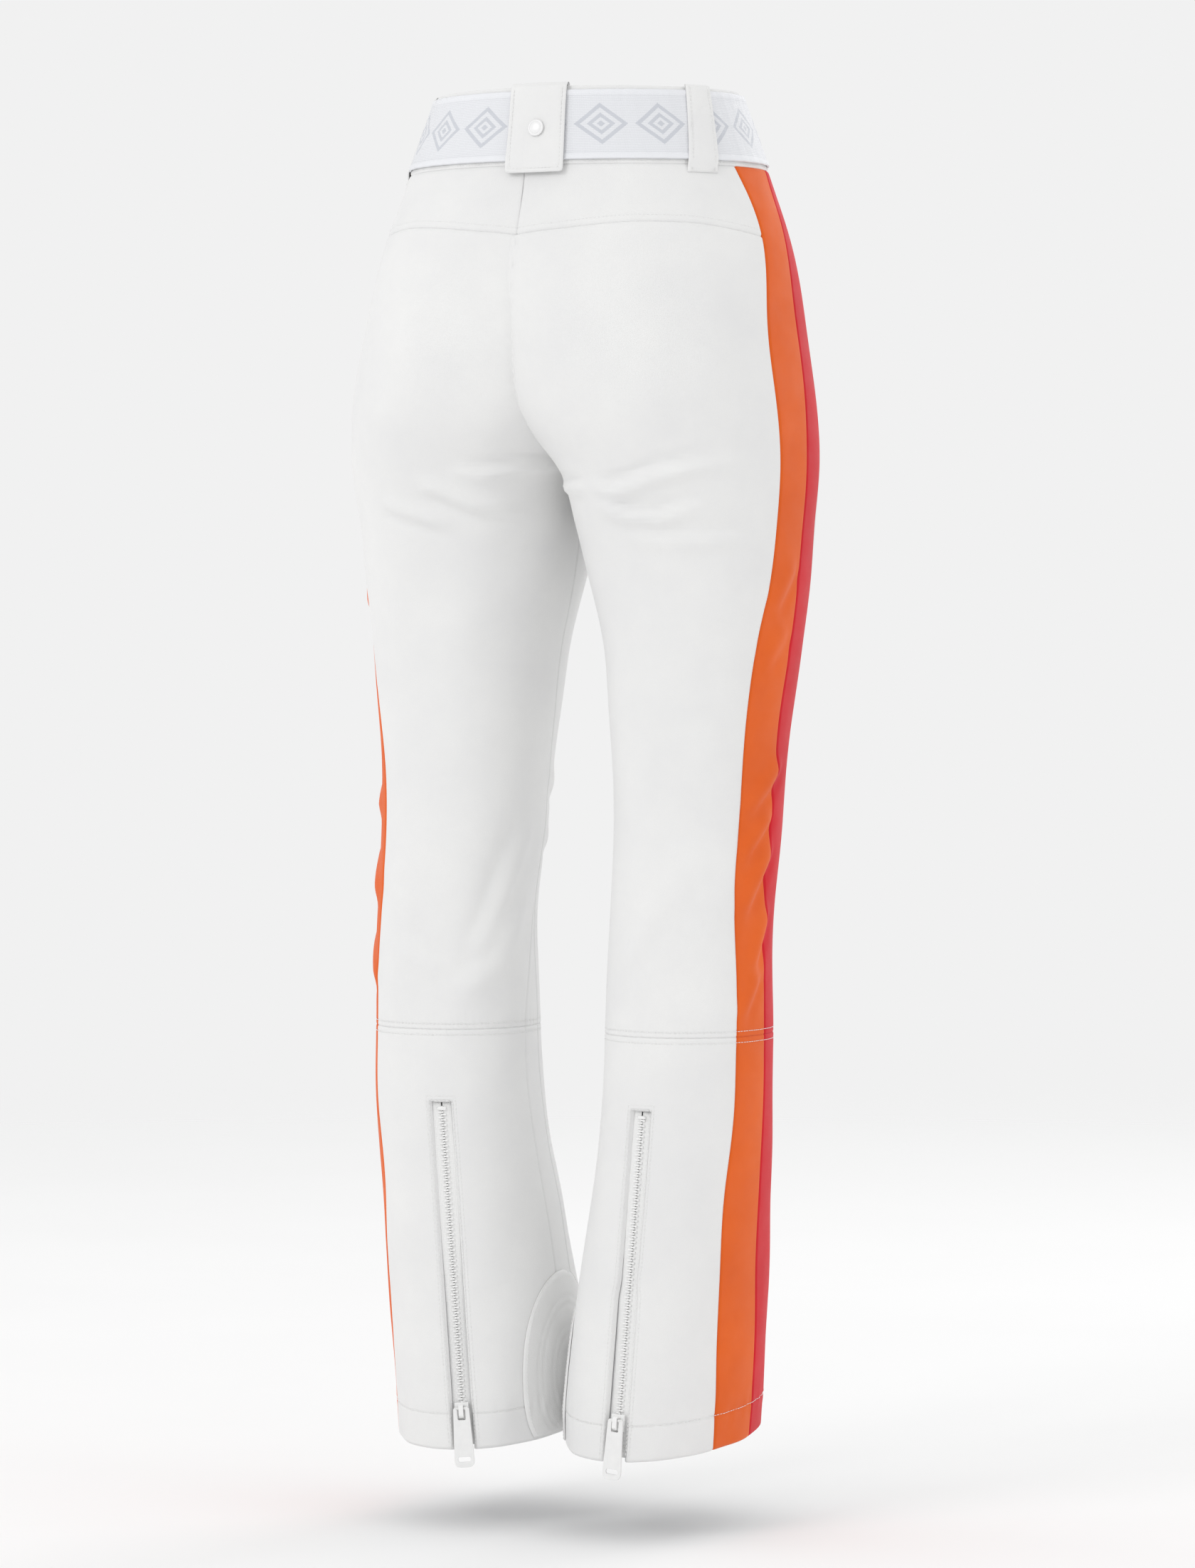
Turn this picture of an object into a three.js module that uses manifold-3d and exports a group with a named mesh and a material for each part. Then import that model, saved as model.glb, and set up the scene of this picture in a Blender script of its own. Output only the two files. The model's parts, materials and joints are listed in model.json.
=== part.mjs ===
// Ski pants as a sewn assembly: cut panels, side stripes, waistband with an elastic belt and a flip clasp,
// hem, pocket and fly zips, snaps, belt loops, scuff guards and snow gaiters.
// Millimetres, +Z up. The waist opening's middle is the origin, the hem is about 1.04 m below it.
// +X is the wearer's left, +Y the back. Each side is modelled as the wearer's left one,
// then the right side is mirrored.
import * as THREE from "three";
import { mergeVertices } from "three/addons/utils/BufferGeometryUtils.js";
import Module from "manifold-3d";

const wasm = await Module();
wasm.setup();

// ---------------------------------------------------------------- driving dimensions

const WAIST = 0;
const BELT_TOP = -3.5;
const BELT_BOTTOM = -57;
const BAND_BOTTOM = -60;
const YOKE_SEAM = -110;
const FLY_END = -206;
const CROTCH = -290;
const CALF_SEAM = -718;
const HEM = -1030;
const HEM_DIP = 9;              // the hem hangs this much lower at the heel and higher at the instep

const SHELL = 2;                // face fabric, membrane and lining together
const GAP = 0.35;               // clearance between neighbouring pieces
const SEAM_TURN = 0.15;         // half the gap of a lengthwise seam, in degrees round the leg
const CENTRE_GAP = 0.2;         // half the gap of the centre front and centre back seams

// Cross-sections of the left side from waist to hem. out: the widest point outside. cx, cy: the middle.
// reach: how far the section runs past the centre plane; below the crotch, minus the inseam's distance.
// back, front: the deepest points. nb, nf: how square the inner back and inner front quarters are.
const SECTIONS = [
  { z: 0, out: 121, cx: 0, reach: 121, back: 96, front: -97, cy: 0, nb: 2.0, nf: 2.0 },
  { z: -60, out: 144, cx: 16, reach: 108, back: 106, front: -106, cy: 0, nb: 2.2, nf: 2.3 },
  { z: -110, out: 162, cx: 34, reach: 87, back: 120, front: -110.5, cy: 0, nb: 2.5, nf: 2.8 },
  { z: -180, out: 174.5, cx: 56, reach: 67, back: 136, front: -116, cy: 1, nb: 2.6, nf: 3.2 },
  { z: -240, out: 182, cx: 77, reach: 43, back: 138, front: -117, cy: 2, nb: 2.5, nf: 3.2 },
  { z: -290, out: 184, cx: 94, reach: 0, back: 122, front: -110, cy: 3, nb: 2.3, nf: 2.6 },
  { z: -330, out: 182, cx: 97, reach: -8, back: 108, front: -103, cy: 2, nb: 2.2, nf: 2.3 },
  { z: -370, out: 180, cx: 99, reach: -16, back: 98, front: -95, cy: 3, nb: 2.1, nf: 2.2 },
  { z: -424, out: 173.5, cx: 100.5, reach: -28, back: 90, front: -84, cy: 5, nb: 2.1, nf: 2.1 },
  { z: -480, out: 167.5, cx: 100.5, reach: -34, back: 86, front: -75, cy: 8, nb: 2.1, nf: 2.1 },
  { z: -560, out: 164, cx: 100.5, reach: -39, back: 84, front: -61, cy: 14, nb: 2.1, nf: 2.1 },
  { z: -620, out: 162.5, cx: 102, reach: -41, back: 90, front: -46, cy: 25, nb: 2.1, nf: 2.1 },
  { z: -720, out: 162.5, cx: 101, reach: -38, back: 96, front: -42, cy: 29, nb: 2.1, nf: 2.1 },
  { z: -810, out: 159.5, cx: 96, reach: -32, back: 99, front: -53, cy: 24, nb: 2.1, nf: 2.1 },
  { z: -870, out: 155, cx: 90.5, reach: -23, back: 101.8, front: -62, cy: 20, nb: 2.1, nf: 2.1 },
  { z: -948, out: 149, cx: 80, reach: -10, back: 106, front: -72, cy: 18, nb: 2.1, nf: 2.1 },
  { z: -1000, out: 145, cx: 76, reach: -5, back: 108.5, front: -78, cy: 16, nb: 2.1, nf: 2.1 },
  { z: -1040, out: 140, cx: 74, reach: -5, back: 110, front: -83, cy: 14, nb: 2.1, nf: 2.1 },
];

// Seams of the side stripes, as angles round the leg: 0 is the outer side, 90 the back.
const STRIPE_BACK = [
  { z: -60, t: 15.5 }, { z: -80, t: 13 }, { z: -200, t: 15 }, { z: -300, t: 15.5 }, { z: -370, t: 21 },
  { z: -430, t: 27 }, { z: -520, t: 31 }, { z: -590, t: 32 }, { z: -680, t: 27 }, { z: -760, t: 27 },
  { z: -840, t: 31 }, { z: -950, t: 28 }, { z: -1040, t: 24 },
];
const STRIPE_MIDDLE = [
  { z: -60, t: -10.5 }, { z: -120, t: -6.5 }, { z: -240, t: -4 }, { z: -420, t: -2 }, { z: -560, t: 1 },
  { z: -680, t: -5 }, { z: -830, t: -1 }, { z: -1040, t: -6 },
];

// The legs are worn a little turned: the left leg's seams lie this many degrees further back.
const LEFT_TURN = [
  { z: -300, t: 0 }, { z: -420, t: 9 }, { z: -560, t: 17 }, { z: -700, t: 15 }, { z: -860, t: 18 },
  { z: -1040, t: 12 },
];

// ---------------------------------------------------------------- the body of the garment

const radians = THREE.MathUtils.degToRad;
const degrees = THREE.MathUtils.radToDeg;
const lerp = THREE.MathUtils.lerp;

/** Smooth value of `key` at height z through a list of rows that run down from the waist. */
function along(list, key, z) {
  const last = list.length - 1;
  const height = Math.min(Math.max(z, list[last].z), list[0].z);
  let i = 0;
  while (i < last - 1 && height < list[i + 1].z) i += 1;
  const slope = (k) => {
    const a = Math.max(k - 1, 0);
    const b = Math.min(k + 1, last);
    if (a === k || b === k) return (list[b][key] - list[a][key]) / (list[b].z - list[a].z);
    const before = (list[k][key] - list[a][key]) / (list[k].z - list[a].z);
    const after = (list[b][key] - list[k][key]) / (list[b].z - list[k].z);
    const reachBefore = Math.abs(list[k].z - list[a].z);
    const reachAfter = Math.abs(list[b].z - list[k].z);
    return (before * reachAfter + after * reachBefore) / (reachBefore + reachAfter);
  };
  const h = list[i + 1].z - list[i].z;
  const u = (height - list[i].z) / h;
  return (2 * u ** 3 - 3 * u ** 2 + 1) * list[i][key] + (u ** 3 - 2 * u ** 2 + u) * h * slope(i)
    + (3 * u ** 2 - 2 * u ** 3) * list[i + 1][key] + (u ** 3 - u ** 2) * h * slope(i + 1);
}

const sectionAt = (z) => Object.fromEntries(
  Object.keys(SECTIONS[0]).filter((key) => key !== "z").map((key) => [key, along(SECTIONS, key, z)]),
);

/** Angle at which a section meets the centre plane (180, the inseam, below the crotch). */
function centreAngle(z, side) {
  const s = sectionAt(z);
  if (z <= CROTCH || s.reach <= 0) return 180;
  const n = side > 0 ? s.nb : s.nf;
  return 180 - degrees(Math.acos((s.cx / (s.cx + s.reach)) ** (n / 2)));
}

/** Point of the left side's outer face at angle t and height z. */
function facePoint(t, z) {
  const s = sectionAt(z);
  const c = Math.cos(radians(t));
  const d = Math.sin(radians(t));
  const inner = d >= 0 ? s.nb : s.nf;
  const power = 2 / (c >= 0 ? 2 : inner);
  const rx = c >= 0 ? s.out - s.cx : s.cx + s.reach;
  const ry = d >= 0 ? s.back - s.cy : s.cy - s.front;
  return new THREE.Vector3(
    s.cx + rx * Math.sign(c) * Math.abs(c) ** power,
    s.cy + ry * Math.sign(d) * Math.abs(d) ** power,
    z,
  );
}

/** Outward normal of the face. */
function faceNormal(t, z) {
  const round = facePoint(t + 0.5, z).sub(facePoint(t - 0.5, z));
  const down = facePoint(t, z - 1).sub(facePoint(t, z + 1));
  return down.cross(round).normalize();
}

const facePointAt = (t, z, offset) => facePoint(t, z).addScaledVector(faceNormal(t, z), offset);

/** Point on the whole waist, both sides: phi is 0 at the wearer's left, 90 behind, -90 or 270 in front. */
function waistPoint(phi, z, offset) {
  const turn = ((phi + 90) % 360 + 360) % 360 - 90;
  const left = turn <= 90;
  const half = left ? turn : 180 - turn;
  const p = facePointAt(half * centreAngle(z, half) / 90, z, offset);
  if (!left) p.x = -p.x;
  return p;
}

/** Seam angles of one side as functions of height. */
function seamsOf(side) {
  const turn = (z) => (side === "left" ? along(LEFT_TURN, "t", z) : 0);
  const back = (z) => along(STRIPE_BACK, "t", z) + turn(z);
  const middle = (z) => along(STRIPE_MIDDLE, "t", z) + turn(z);
  const inseam = (z, half) => (
    z <= CROTCH ? half * (180 - SEAM_TURN) + turn(z) : half * centreAngle(z, half)
  );
  return {
    stripeBack: back,
    stripeMiddle: middle,
    stripeFront: (z) => 2 * middle(z) - back(z),
    centreBack: (z) => inseam(z, 1),
    centreFront: (z) => inseam(z, -1),
  };
}

const hemHeight = (t) => HEM - HEM_DIP * Math.sin(radians(t));

// ---------------------------------------------------------------- solids

const range = (count, from = 0, to = 1) => (
  Array.from({ length: count + 1 }, (_, i) => lerp(from, to, i / count))
);

/** Positions and triangles to a geometry whose faces point out. */
function solidFrom(points, faces) {
  const p = points.map((v) => [v.x, v.y, v.z]);
  let volume = 0;
  for (const [a, b, c] of faces) {
    volume += p[a][0] * (p[b][1] * p[c][2] - p[b][2] * p[c][1])
      - p[a][1] * (p[b][0] * p[c][2] - p[b][2] * p[c][0])
      + p[a][2] * (p[b][0] * p[c][1] - p[b][1] * p[c][0]);
  }
  const outward = volume > 0 ? faces : faces.map(([a, b, c]) => [a, c, b]);
  const geometry = new THREE.BufferGeometry();
  geometry.setAttribute("position", new THREE.Float32BufferAttribute(p.flat(), 3));
  geometry.setIndex(outward.flat());
  return geometry;
}

/**
 * A closed sheet with an outer and an inner face. point(u, v, layer) gives a place on it,
 * with layer 1 outside and 0 inside; `ring` joins the last column to the first.
 */
function sheet(rows, cols, point, ring = false) {
  const points = [];
  for (const layer of [1, 0]) {
    for (const u of rows) for (const v of cols) points.push(point(u, v, layer));
  }
  const n = cols.length;
  const size = rows.length * n;
  const at = (layer, i, j) => (layer ? 0 : size) + i * n + (j % n);
  const faces = [];
  const quad = (a, b, c, d) => faces.push([a, b, c], [a, c, d]);
  const across = ring ? n : n - 1;
  for (let i = 0; i < rows.length - 1; i += 1) {
    for (let j = 0; j < across; j += 1) {
      quad(at(1, i, j), at(1, i + 1, j), at(1, i + 1, j + 1), at(1, i, j + 1));
      quad(at(0, i, j), at(0, i, j + 1), at(0, i + 1, j + 1), at(0, i + 1, j));
    }
    if (!ring) {
      quad(at(0, i, 0), at(0, i + 1, 0), at(1, i + 1, 0), at(1, i, 0));
      quad(at(1, i, n - 1), at(1, i + 1, n - 1), at(0, i + 1, n - 1), at(0, i, n - 1));
    }
  }
  const end = rows.length - 1;
  for (let j = 0; j < across; j += 1) {
    quad(at(1, 0, j), at(1, 0, j + 1), at(0, 0, j + 1), at(0, 0, j));
    quad(at(0, end, j), at(0, end, j + 1), at(1, end, j + 1), at(1, end, j));
  }
  return solidFrom(points, faces);
}

/** Bar of an outline given in (x, z), running along y. */
function barAlongY(outline, from, to) {
  const shape = new THREE.Shape(outline.map(([x, z]) => new THREE.Vector2(x, -z)));
  const bar = new THREE.ExtrudeGeometry(shape, { depth: to - from, bevelEnabled: false });
  return bar.rotateX(-Math.PI / 2).translate(0, from, 0);
}

/** Plate of a shape in (x, y), between two heights z. */
function plate(shape, from, to, curveSegments = 4) {
  const solid = new THREE.ExtrudeGeometry(shape, { depth: to - from, bevelEnabled: false, curveSegments });
  return solid.translate(0, 0, from);
}

/** Rectangle with rounded corners about (0, y). */
function roundedRectangle(width, height, radius, y = 0, hole = false) {
  const path = hole ? new THREE.Path() : new THREE.Shape();
  const w = width / 2 - radius;
  const h = height / 2 - radius;
  path.absarc(w, y + h, radius, 0, Math.PI / 2);
  path.absarc(-w, y + h, radius, Math.PI / 2, Math.PI);
  path.absarc(-w, y - h, radius, Math.PI, 1.5 * Math.PI);
  path.absarc(w, y - h, radius, 1.5 * Math.PI, 2 * Math.PI);
  path.closePath();
  return path;
}

/** Round button turned about z, from (radius, height) pairs that start and end on the axis. */
const turned = (profile, segments = 16) => (
  new THREE.LatheGeometry(profile.map(([r, h]) => new THREE.Vector2(r, h)), segments).rotateX(Math.PI / 2)
);

function toManifold(geometry) {
  const bare = geometry.clone();
  bare.deleteAttribute("normal");
  bare.deleteAttribute("uv");
  const merged = mergeVertices(bare, 1e-4);
  return new wasm.Manifold(new wasm.Mesh({
    numProp: 3,
    vertProperties: new Float32Array(merged.attributes.position.array),
    triVerts: new Uint32Array(merged.index.array),
  }));
}

function fromManifold(solid) {
  const mesh = solid.getMesh();
  const geometry = new THREE.BufferGeometry();
  geometry.setAttribute("position", new THREE.BufferAttribute(new Float32Array(mesh.vertProperties), 3));
  geometry.setIndex(new THREE.BufferAttribute(new Uint32Array(mesh.triVerts), 1));
  return geometry;
}

const joined = (a, b) => fromManifold(toManifold(a).add(toManifold(b)));
const cut = (a, b) => fromManifold(toManifold(a).subtract(toManifold(b)));

// ---------------------------------------------------------------- materials

const finish = (color, roughness, metalness = 0) => (
  () => new THREE.MeshStandardMaterial({ color, roughness, metalness })
);
const shellWhite = finish(0xf2f2f1, 0.75);
const stripeOrange = finish(0xe8641f, 0.72);
const stripeRed = finish(0xdc2338, 0.72);
const liningGrey = finish(0xc9ccd2, 0.85);
const elasticSilver = finish(0xdde0e8, 0.8);
const guardWhite = finish(0xe9e9e8, 0.6);
const zipTape = finish(0xf0f0ef, 0.85);
const zipMoulding = finish(0xe4e5e8, 0.35);
const pullRubber = finish(0xecedef, 0.5);
const snapMetal = finish(0xd8dade, 0.3, 0.9);
const claspMetal = finish(0xc4c8cc, 0.28, 0.95);
const gripRubber = finish(0x9a9da3, 0.9);

function piece(name, geometry, material) {
  const mesh = new THREE.Mesh(geometry, material());
  mesh.name = name;
  return mesh;
}

// ---------------------------------------------------------------- fabric panels of one side

// Heights of the grid rows, close together where the crotch curve turns.
const YOKE_ROWS = [BAND_BOTTOM, YOKE_SEAM];
const SEAT_ROWS = [YOKE_SEAM, -155, FLY_END, FLY_END - 2, -240, -262, -278, -286, -289.4];
const THIGH_ROWS = [CROTCH, -302, -325, -365, -425, -490, -560, -620, -670, CALF_SEAM];
const UPPER_ROWS = [...YOKE_ROWS, ...SEAT_ROWS.slice(1), ...THIGH_ROWS];
const LOWER_ROWS = range(9);

/** Pull the end rows in by half a seam gap. */
const trimmed = (rows, gap = GAP / 2) => (
  rows.map((z, i) => z - (i === 0 ? gap : 0) + (i === rows.length - 1 ? gap : 0))
);

/** Panel above the calf seam, between two seam angles; nothing of it crosses the centre plane. */
function upperPanel(rows, from, to, columns, nearest = () => CENTRE_GAP) {
  return sheet(trimmed(rows), range(columns), (z, v, layer) => {
    const t = lerp(from(z), to(z), v);
    const p = facePointAt(t, z, layer ? 0 : -SHELL);
    p.x = Math.max(p.x, nearest(z));
    return p;
  });
}

/** Panel from the calf seam down to the hem. */
function lowerPanel(from, to, columns, outer = 0, inner = -SHELL) {
  const top = CALF_SEAM - GAP / 2;
  return sheet(LOWER_ROWS, range(columns), (u, v, layer) => {
    const level = lerp(top, HEM, u);
    const t = lerp(from(level), to(level), v);
    return facePointAt(t, lerp(top, hemHeight(t), u), layer ? outer : inner);
  });
}

const shifted = (edge, turn) => (z) => edge(z) + turn;
const flyEdge = (z) => (z >= FLY_END ? ZIP_WINDOW / 2 : CENTRE_GAP);

// ---------------------------------------------------------------- zips

const ZIP_WINDOW = 15;          // width of the opening that shows the chain
const WINDOW_SPARE = 1.5;       // the opening runs this far past the end of the chain
const TAPE_HALF = 13;
const TAPE = 0.8;
const BEAD_IN = 0.8;            // chain teeth, from the middle outwards
const BEAD_OUT = 3.4;
const BEAD_TOP = 2;
const BEAD_BOTTOM = -1.2;
const SLIDER_LENGTH = 13;
const SLIDER_HALF = 5.3;
const SLIDER_TOP = 3.4;
const SLIDER_BOTTOM = -3;
const POST_HALF = 0.45;
const PULL_AXIS_Y = 2.2;        // the pull's crossbar, from the slider's middle
const PULL_AXIS_Z = 6.2;
const PULL_THICK = 1.8;
const HEM_PULL = { length: 46, top: 12.3, end: 15.4 };
const SMALL_PULL = { length: 32, top: 9, end: 10.5 };

/**
 * A straight zip's own frame: x across, y up along the chain, z out of the garment, with its origin
 * at the lower end in the middle of the chain, `depth` under the face.
 */
function zipFrame(bottom, top, outward, depth) {
  const y = top.clone().sub(bottom).normalize();
  const x = y.clone().cross(outward).normalize();
  const z = x.clone().cross(y);
  const frame = new THREE.Group();
  frame.applyMatrix4(new THREE.Matrix4().makeBasis(x, y, z).setPosition(
    bottom.clone().addScaledVector(z, -depth),
  ));
  return { frame, length: top.distanceTo(bottom) };
}

/** One half of the chain: tape with its row of teeth. side is -1 or 1; sag bends the tape round the leg. */
function stringer(side, length, sag) {
  const half = TAPE / 2;
  const outline = [
    [BEAD_IN, BEAD_BOTTOM], [BEAD_OUT, BEAD_BOTTOM], [BEAD_OUT, -half], [7, -half - sag * 0.2],
    [TAPE_HALF, -half - sag], [TAPE_HALF, half - sag], [7, half - sag * 0.2], [BEAD_OUT, half],
    [BEAD_OUT, BEAD_TOP], [BEAD_IN, BEAD_TOP],
  ];
  return barAlongY(outline.map(([x, z]) => [side * x, z]), 0, length);
}

/** A chain that stays joined: both halves with a stop across the teeth at each end. */
function closedChain(length, sag) {
  const stop = 2.4;
  let chain = toManifold(stringer(1, length, sag)).add(toManifold(stringer(-1, length, sag)));
  for (const y of [stop / 2, length - stop / 2]) {
    const bar = new THREE.BoxGeometry(2 * BEAD_OUT, stop, BEAD_TOP - BEAD_BOTTOM);
    bar.translate(0, y, (BEAD_TOP + BEAD_BOTTOM) / 2);
    chain = chain.add(toManifold(bar));
  }
  return fromManifold(chain);
}

/** Slider: two plates with flanges round the teeth, a post between the rows, and a bridge for the pull. */
function zipSlider() {
  const inside = BEAD_TOP + GAP;
  const under = BEAD_BOTTOM - GAP;
  const flange = BEAD_OUT + GAP;
  const slit = TAPE / 2 + GAP;
  const half = [
    [SLIDER_HALF, SLIDER_TOP], [SLIDER_HALF, slit], [flange, slit], [flange, inside], [POST_HALF, inside],
    [POST_HALF, under], [flange, under], [flange, -slit], [SLIDER_HALF, -slit], [SLIDER_HALF, SLIDER_BOTTOM],
  ];
  const outline = [...half, ...half.map(([x, z]) => [-x, z]).reverse()];
  const body = barAlongY(outline, -SLIDER_LENGTH / 2, SLIDER_LENGTH / 2);
  const arch = new THREE.Shape([
    [-5, 3.2], [-5, 7.2], [-3.5, 8.8], [3.5, 8.8], [5, 7.2], [5, 3.2],
    [3.6, 3.2], [3.6, 6.9], [2.9, 7.6], [-2.9, 7.6], [-3.6, 6.9], [-3.6, 3.2],
  ].map(([y, z]) => new THREE.Vector2(-z, y)));
  const bridgeWidth = 3.6;
  const bridge = new THREE.ExtrudeGeometry(arch, { depth: bridgeWidth, bevelEnabled: false });
  bridge.rotateY(Math.PI / 2).translate(-bridgeWidth / 2, 0, 0);
  return joined(body, bridge);
}

/** Tapered pull with a window for the bridge and a slot near its end; its crossbar is on y = 0, z = 0. */
function zipPull(length, topWidth, endWidth) {
  const top = 0.8;
  const corner = endWidth * 0.32;
  const end = top - length;
  const shape = new THREE.Shape();
  shape.moveTo(-topWidth / 2 + 1.2, top);
  shape.lineTo(topWidth / 2 - 1.2, top);
  shape.lineTo(topWidth / 2, top - 1.4);
  shape.lineTo(endWidth / 2, end + corner);
  shape.quadraticCurveTo(endWidth / 2, end, endWidth / 2 - corner, end);
  shape.lineTo(-endWidth / 2 + corner, end);
  shape.quadraticCurveTo(-endWidth / 2, end, -endWidth / 2, end + corner);
  shape.lineTo(-topWidth / 2, top - 1.4);
  shape.closePath();
  const windowWidth = 6.2;
  const windowLength = 8.2;
  shape.holes.push(roundedRectangle(windowWidth, windowLength, 1, -0.8 - windowLength / 2, true));
  shape.holes.push(roundedRectangle(endWidth * 0.64, 3.7, 1.5, end + 6.2, true));
  return plate(shape, -PULL_THICK / 2, PULL_THICK / 2, 3);
}

/** Slider and hanging pull on a zip frame, `height` up the chain. */
function sliderAndPull(frame, height, name, pull) {
  const slider = piece(`${name}_slider`, zipSlider(), zipMoulding);
  slider.position.y = height;
  const tongue = piece(`${name}_pull`, zipPull(pull.length, pull.top, pull.end), pullRubber);
  tongue.position.set(0, height + PULL_AXIS_Y, PULL_AXIS_Z);
  frame.add(slider, tongue);
}

/** Cut a zip's window out of a panel, from a distance up the chain to just past its upper end. */
function cutWindow(panel, zip, from) {
  const to = zip.length + WINDOW_SPARE;
  const tool = plate(roundedRectangle(ZIP_WINDOW, to - from, 5, (from + to) / 2), -12, 20);
  zip.frame.updateMatrix();
  return cut(panel, tool.applyMatrix4(zip.frame.matrix));
}

// turn and z of both ends, depth under the face, sag: how far the tape's edges bend round the leg,
// slider: its height up the chain when the zip is closed.
const HEM_ZIP = { bottomZ: -1036, topZ: -774, depth: 4.4, sag: 1.9, slider: 27 };
const HEM_ZIPS = {
  left: { ...HEM_ZIP, bottomTurn: 107, topTurn: 107 },
  right: { ...HEM_ZIP, bottomTurn: 87, topTurn: 94 },
};
const POCKET_ZIP = {
  bottomTurn: -36, bottomZ: -254, topTurn: -38, topZ: -124, depth: 4.6, sag: 1.1, slider: 112,
};

/** Frame of a zip that lies between two places of the face. */
function zipOnFace(zip) {
  const middle = (zip.bottomZ + zip.topZ) / 2;
  return zipFrame(
    facePoint(zip.bottomTurn, zip.bottomZ),
    facePoint(zip.topTurn, zip.topZ),
    faceNormal((zip.bottomTurn + zip.topTurn) / 2, middle),
    zip.depth,
  );
}

// ---------------------------------------------------------------- parts of one side

function shellPanels(side, hemZip, pocketZip) {
  const seams = seamsOf(side);
  const { stripeBack, stripeMiddle, stripeFront, centreBack, centreFront } = seams;
  const behindStripes = shifted(stripeBack, SEAM_TURN);
  const beforeStripes = shifted(stripeFront, -SEAM_TURN);
  const orange = [shifted(stripeMiddle, SEAM_TURN), shifted(stripeBack, -SEAM_TURN), 2];
  const red = [shifted(stripeFront, SEAM_TURN), shifted(stripeMiddle, -SEAM_TURN), 2];
  const frontPanel = upperPanel(UPPER_ROWS, centreFront, beforeStripes, 9, flyEdge);
  const backLower = lowerPanel(behindStripes, centreBack, 12);
  const backRows = [...SEAT_ROWS, ...THIGH_ROWS];
  return [
    piece(`${side}_front_panel`, cutWindow(frontPanel, pocketZip, -WINDOW_SPARE), shellWhite),
    piece(`${side}_back_yoke`, upperPanel(YOKE_ROWS, behindStripes, centreBack, 8), shellWhite),
    piece(`${side}_back_panel`, upperPanel(backRows, behindStripes, centreBack, 8), shellWhite),
    piece(`${side}_orange_stripe_upper`, upperPanel(UPPER_ROWS, ...orange), stripeOrange),
    piece(`${side}_red_stripe_upper`, upperPanel(UPPER_ROWS, ...red), stripeRed),
    piece(`${side}_front_lower`, lowerPanel(centreFront, beforeStripes, 9), shellWhite),
    piece(`${side}_back_lower`, cutWindow(backLower, hemZip, -40), shellWhite),
    piece(`${side}_orange_stripe_lower`, lowerPanel(...orange), stripeOrange),
    piece(`${side}_red_stripe_lower`, lowerPanel(...red), stripeRed),
  ];
}

/** Tough half-oval patch on the inner ankle. */
function scuffGuard(side) {
  const height = 118;
  const halfTurn = 37;
  const lift = 2;
  const solid = sheet(range(6), range(7), (u, v, layer) => {
    const reach = halfTurn * Math.sqrt(1 - (0.94 * u) ** 2.4);
    const t = lerp(180 - reach, 180 + reach, v);
    return facePointAt(t, hemHeight(t) + lift + height * u, layer ? 2.1 : 0.7);
  });
  return piece(`${side}_scuff_guard`, solid, guardWhite);
}

/** Snow gaiter inside the leg, and the gripping elastic at its lower edge. */
function gaiter(side) {
  const top = -832;
  const bottom = -1004;
  const count = 20;
  const columns = range(count - 1, -180, 180 - 360 / count);
  const cloth = sheet(range(4), columns, (u, t, layer) => (
    facePointAt(t, lerp(top, bottom, u), -11.4 - 5 * Math.sin(Math.PI * u) - (layer ? 0 : 1.2))
  ), true);
  const band = sheet([bottom - GAP, bottom - 14], columns, (z, t, layer) => (
    facePointAt(t, z, layer ? -11.2 : -13)
  ), true);
  return [
    piece(`${side}_snow_gaiter`, cloth, liningGrey),
    piece(`${side}_gaiter_elastic`, band, gripRubber),
  ];
}

/** Fabric panel behind the hem zip, which keeps snow out when the zip is open. */
function zipGusset(side) {
  const middle = (HEM_ZIPS[side].bottomTurn + HEM_ZIPS[side].topTurn) / 2;
  const solid = sheet(range(6, -762, -1026), range(3, middle - 17, middle + 17), (z, t, layer) => (
    facePointAt(t, z, layer ? -9.2 : -10.2)
  ));
  return piece(`${side}_zip_gusset`, solid, liningGrey);
}

/** Flat pouch behind the pocket zip. */
function pocketBag(side) {
  const solid = sheet(range(6, -118, -318), range(4, -60, -31), (z, t, layer) => (
    facePointAt(t, z, layer ? -12.4 : -14.4)
  ));
  return piece(`${side}_pocket_bag`, solid, liningGrey);
}

function waistband(side) {
  const solid = sheet(range(2, WAIST, BAND_BOTTOM + GAP / 2), range(12), (z, v, layer) => {
    const t = lerp(-centreAngle(z, -1), centreAngle(z, 1), v);
    const p = facePointAt(t, z, layer ? 0 : -BAND_THICK);
    p.x = Math.max(p.x, CENTRE_GAP);
    return p;
  });
  return piece(`${side}_waistband`, solid, shellWhite);
}

// ---------------------------------------------------------------- waist hardware

const BAND_THICK = 3;
const BELT_INSIDE = 0.8;        // the belt lies between these two distances from the waistband's face
const BELT_FACE = 2.4;
const LOOP_THICK = 1.3;

/** Belt loop about the waist angles given: sewn on at both ends, arched over the belt. */
function beltLoop({ bottomPhi, topPhi, width }) {
  const over = BELT_FACE + 0.6;
  const path = [
    { z: 1.2, lift: GAP }, { z: -2.4, lift: over }, { z: -30, lift: over }, { z: -57.6, lift: over },
    { z: -60.4, lift: over * 0.6 }, { z: -64, lift: GAP },
  ];
  const radius = 130;
  return sheet(path, [-1, -0.33, 0.33, 1], (row, v, layer) => {
    const turn = lerp(bottomPhi, topPhi, (row.z + 64) / 65) + v * degrees(width / 2 / radius);
    return waistPoint(turn, row.z, row.lift + (layer ? LOOP_THICK : 0));
  });
}

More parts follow.
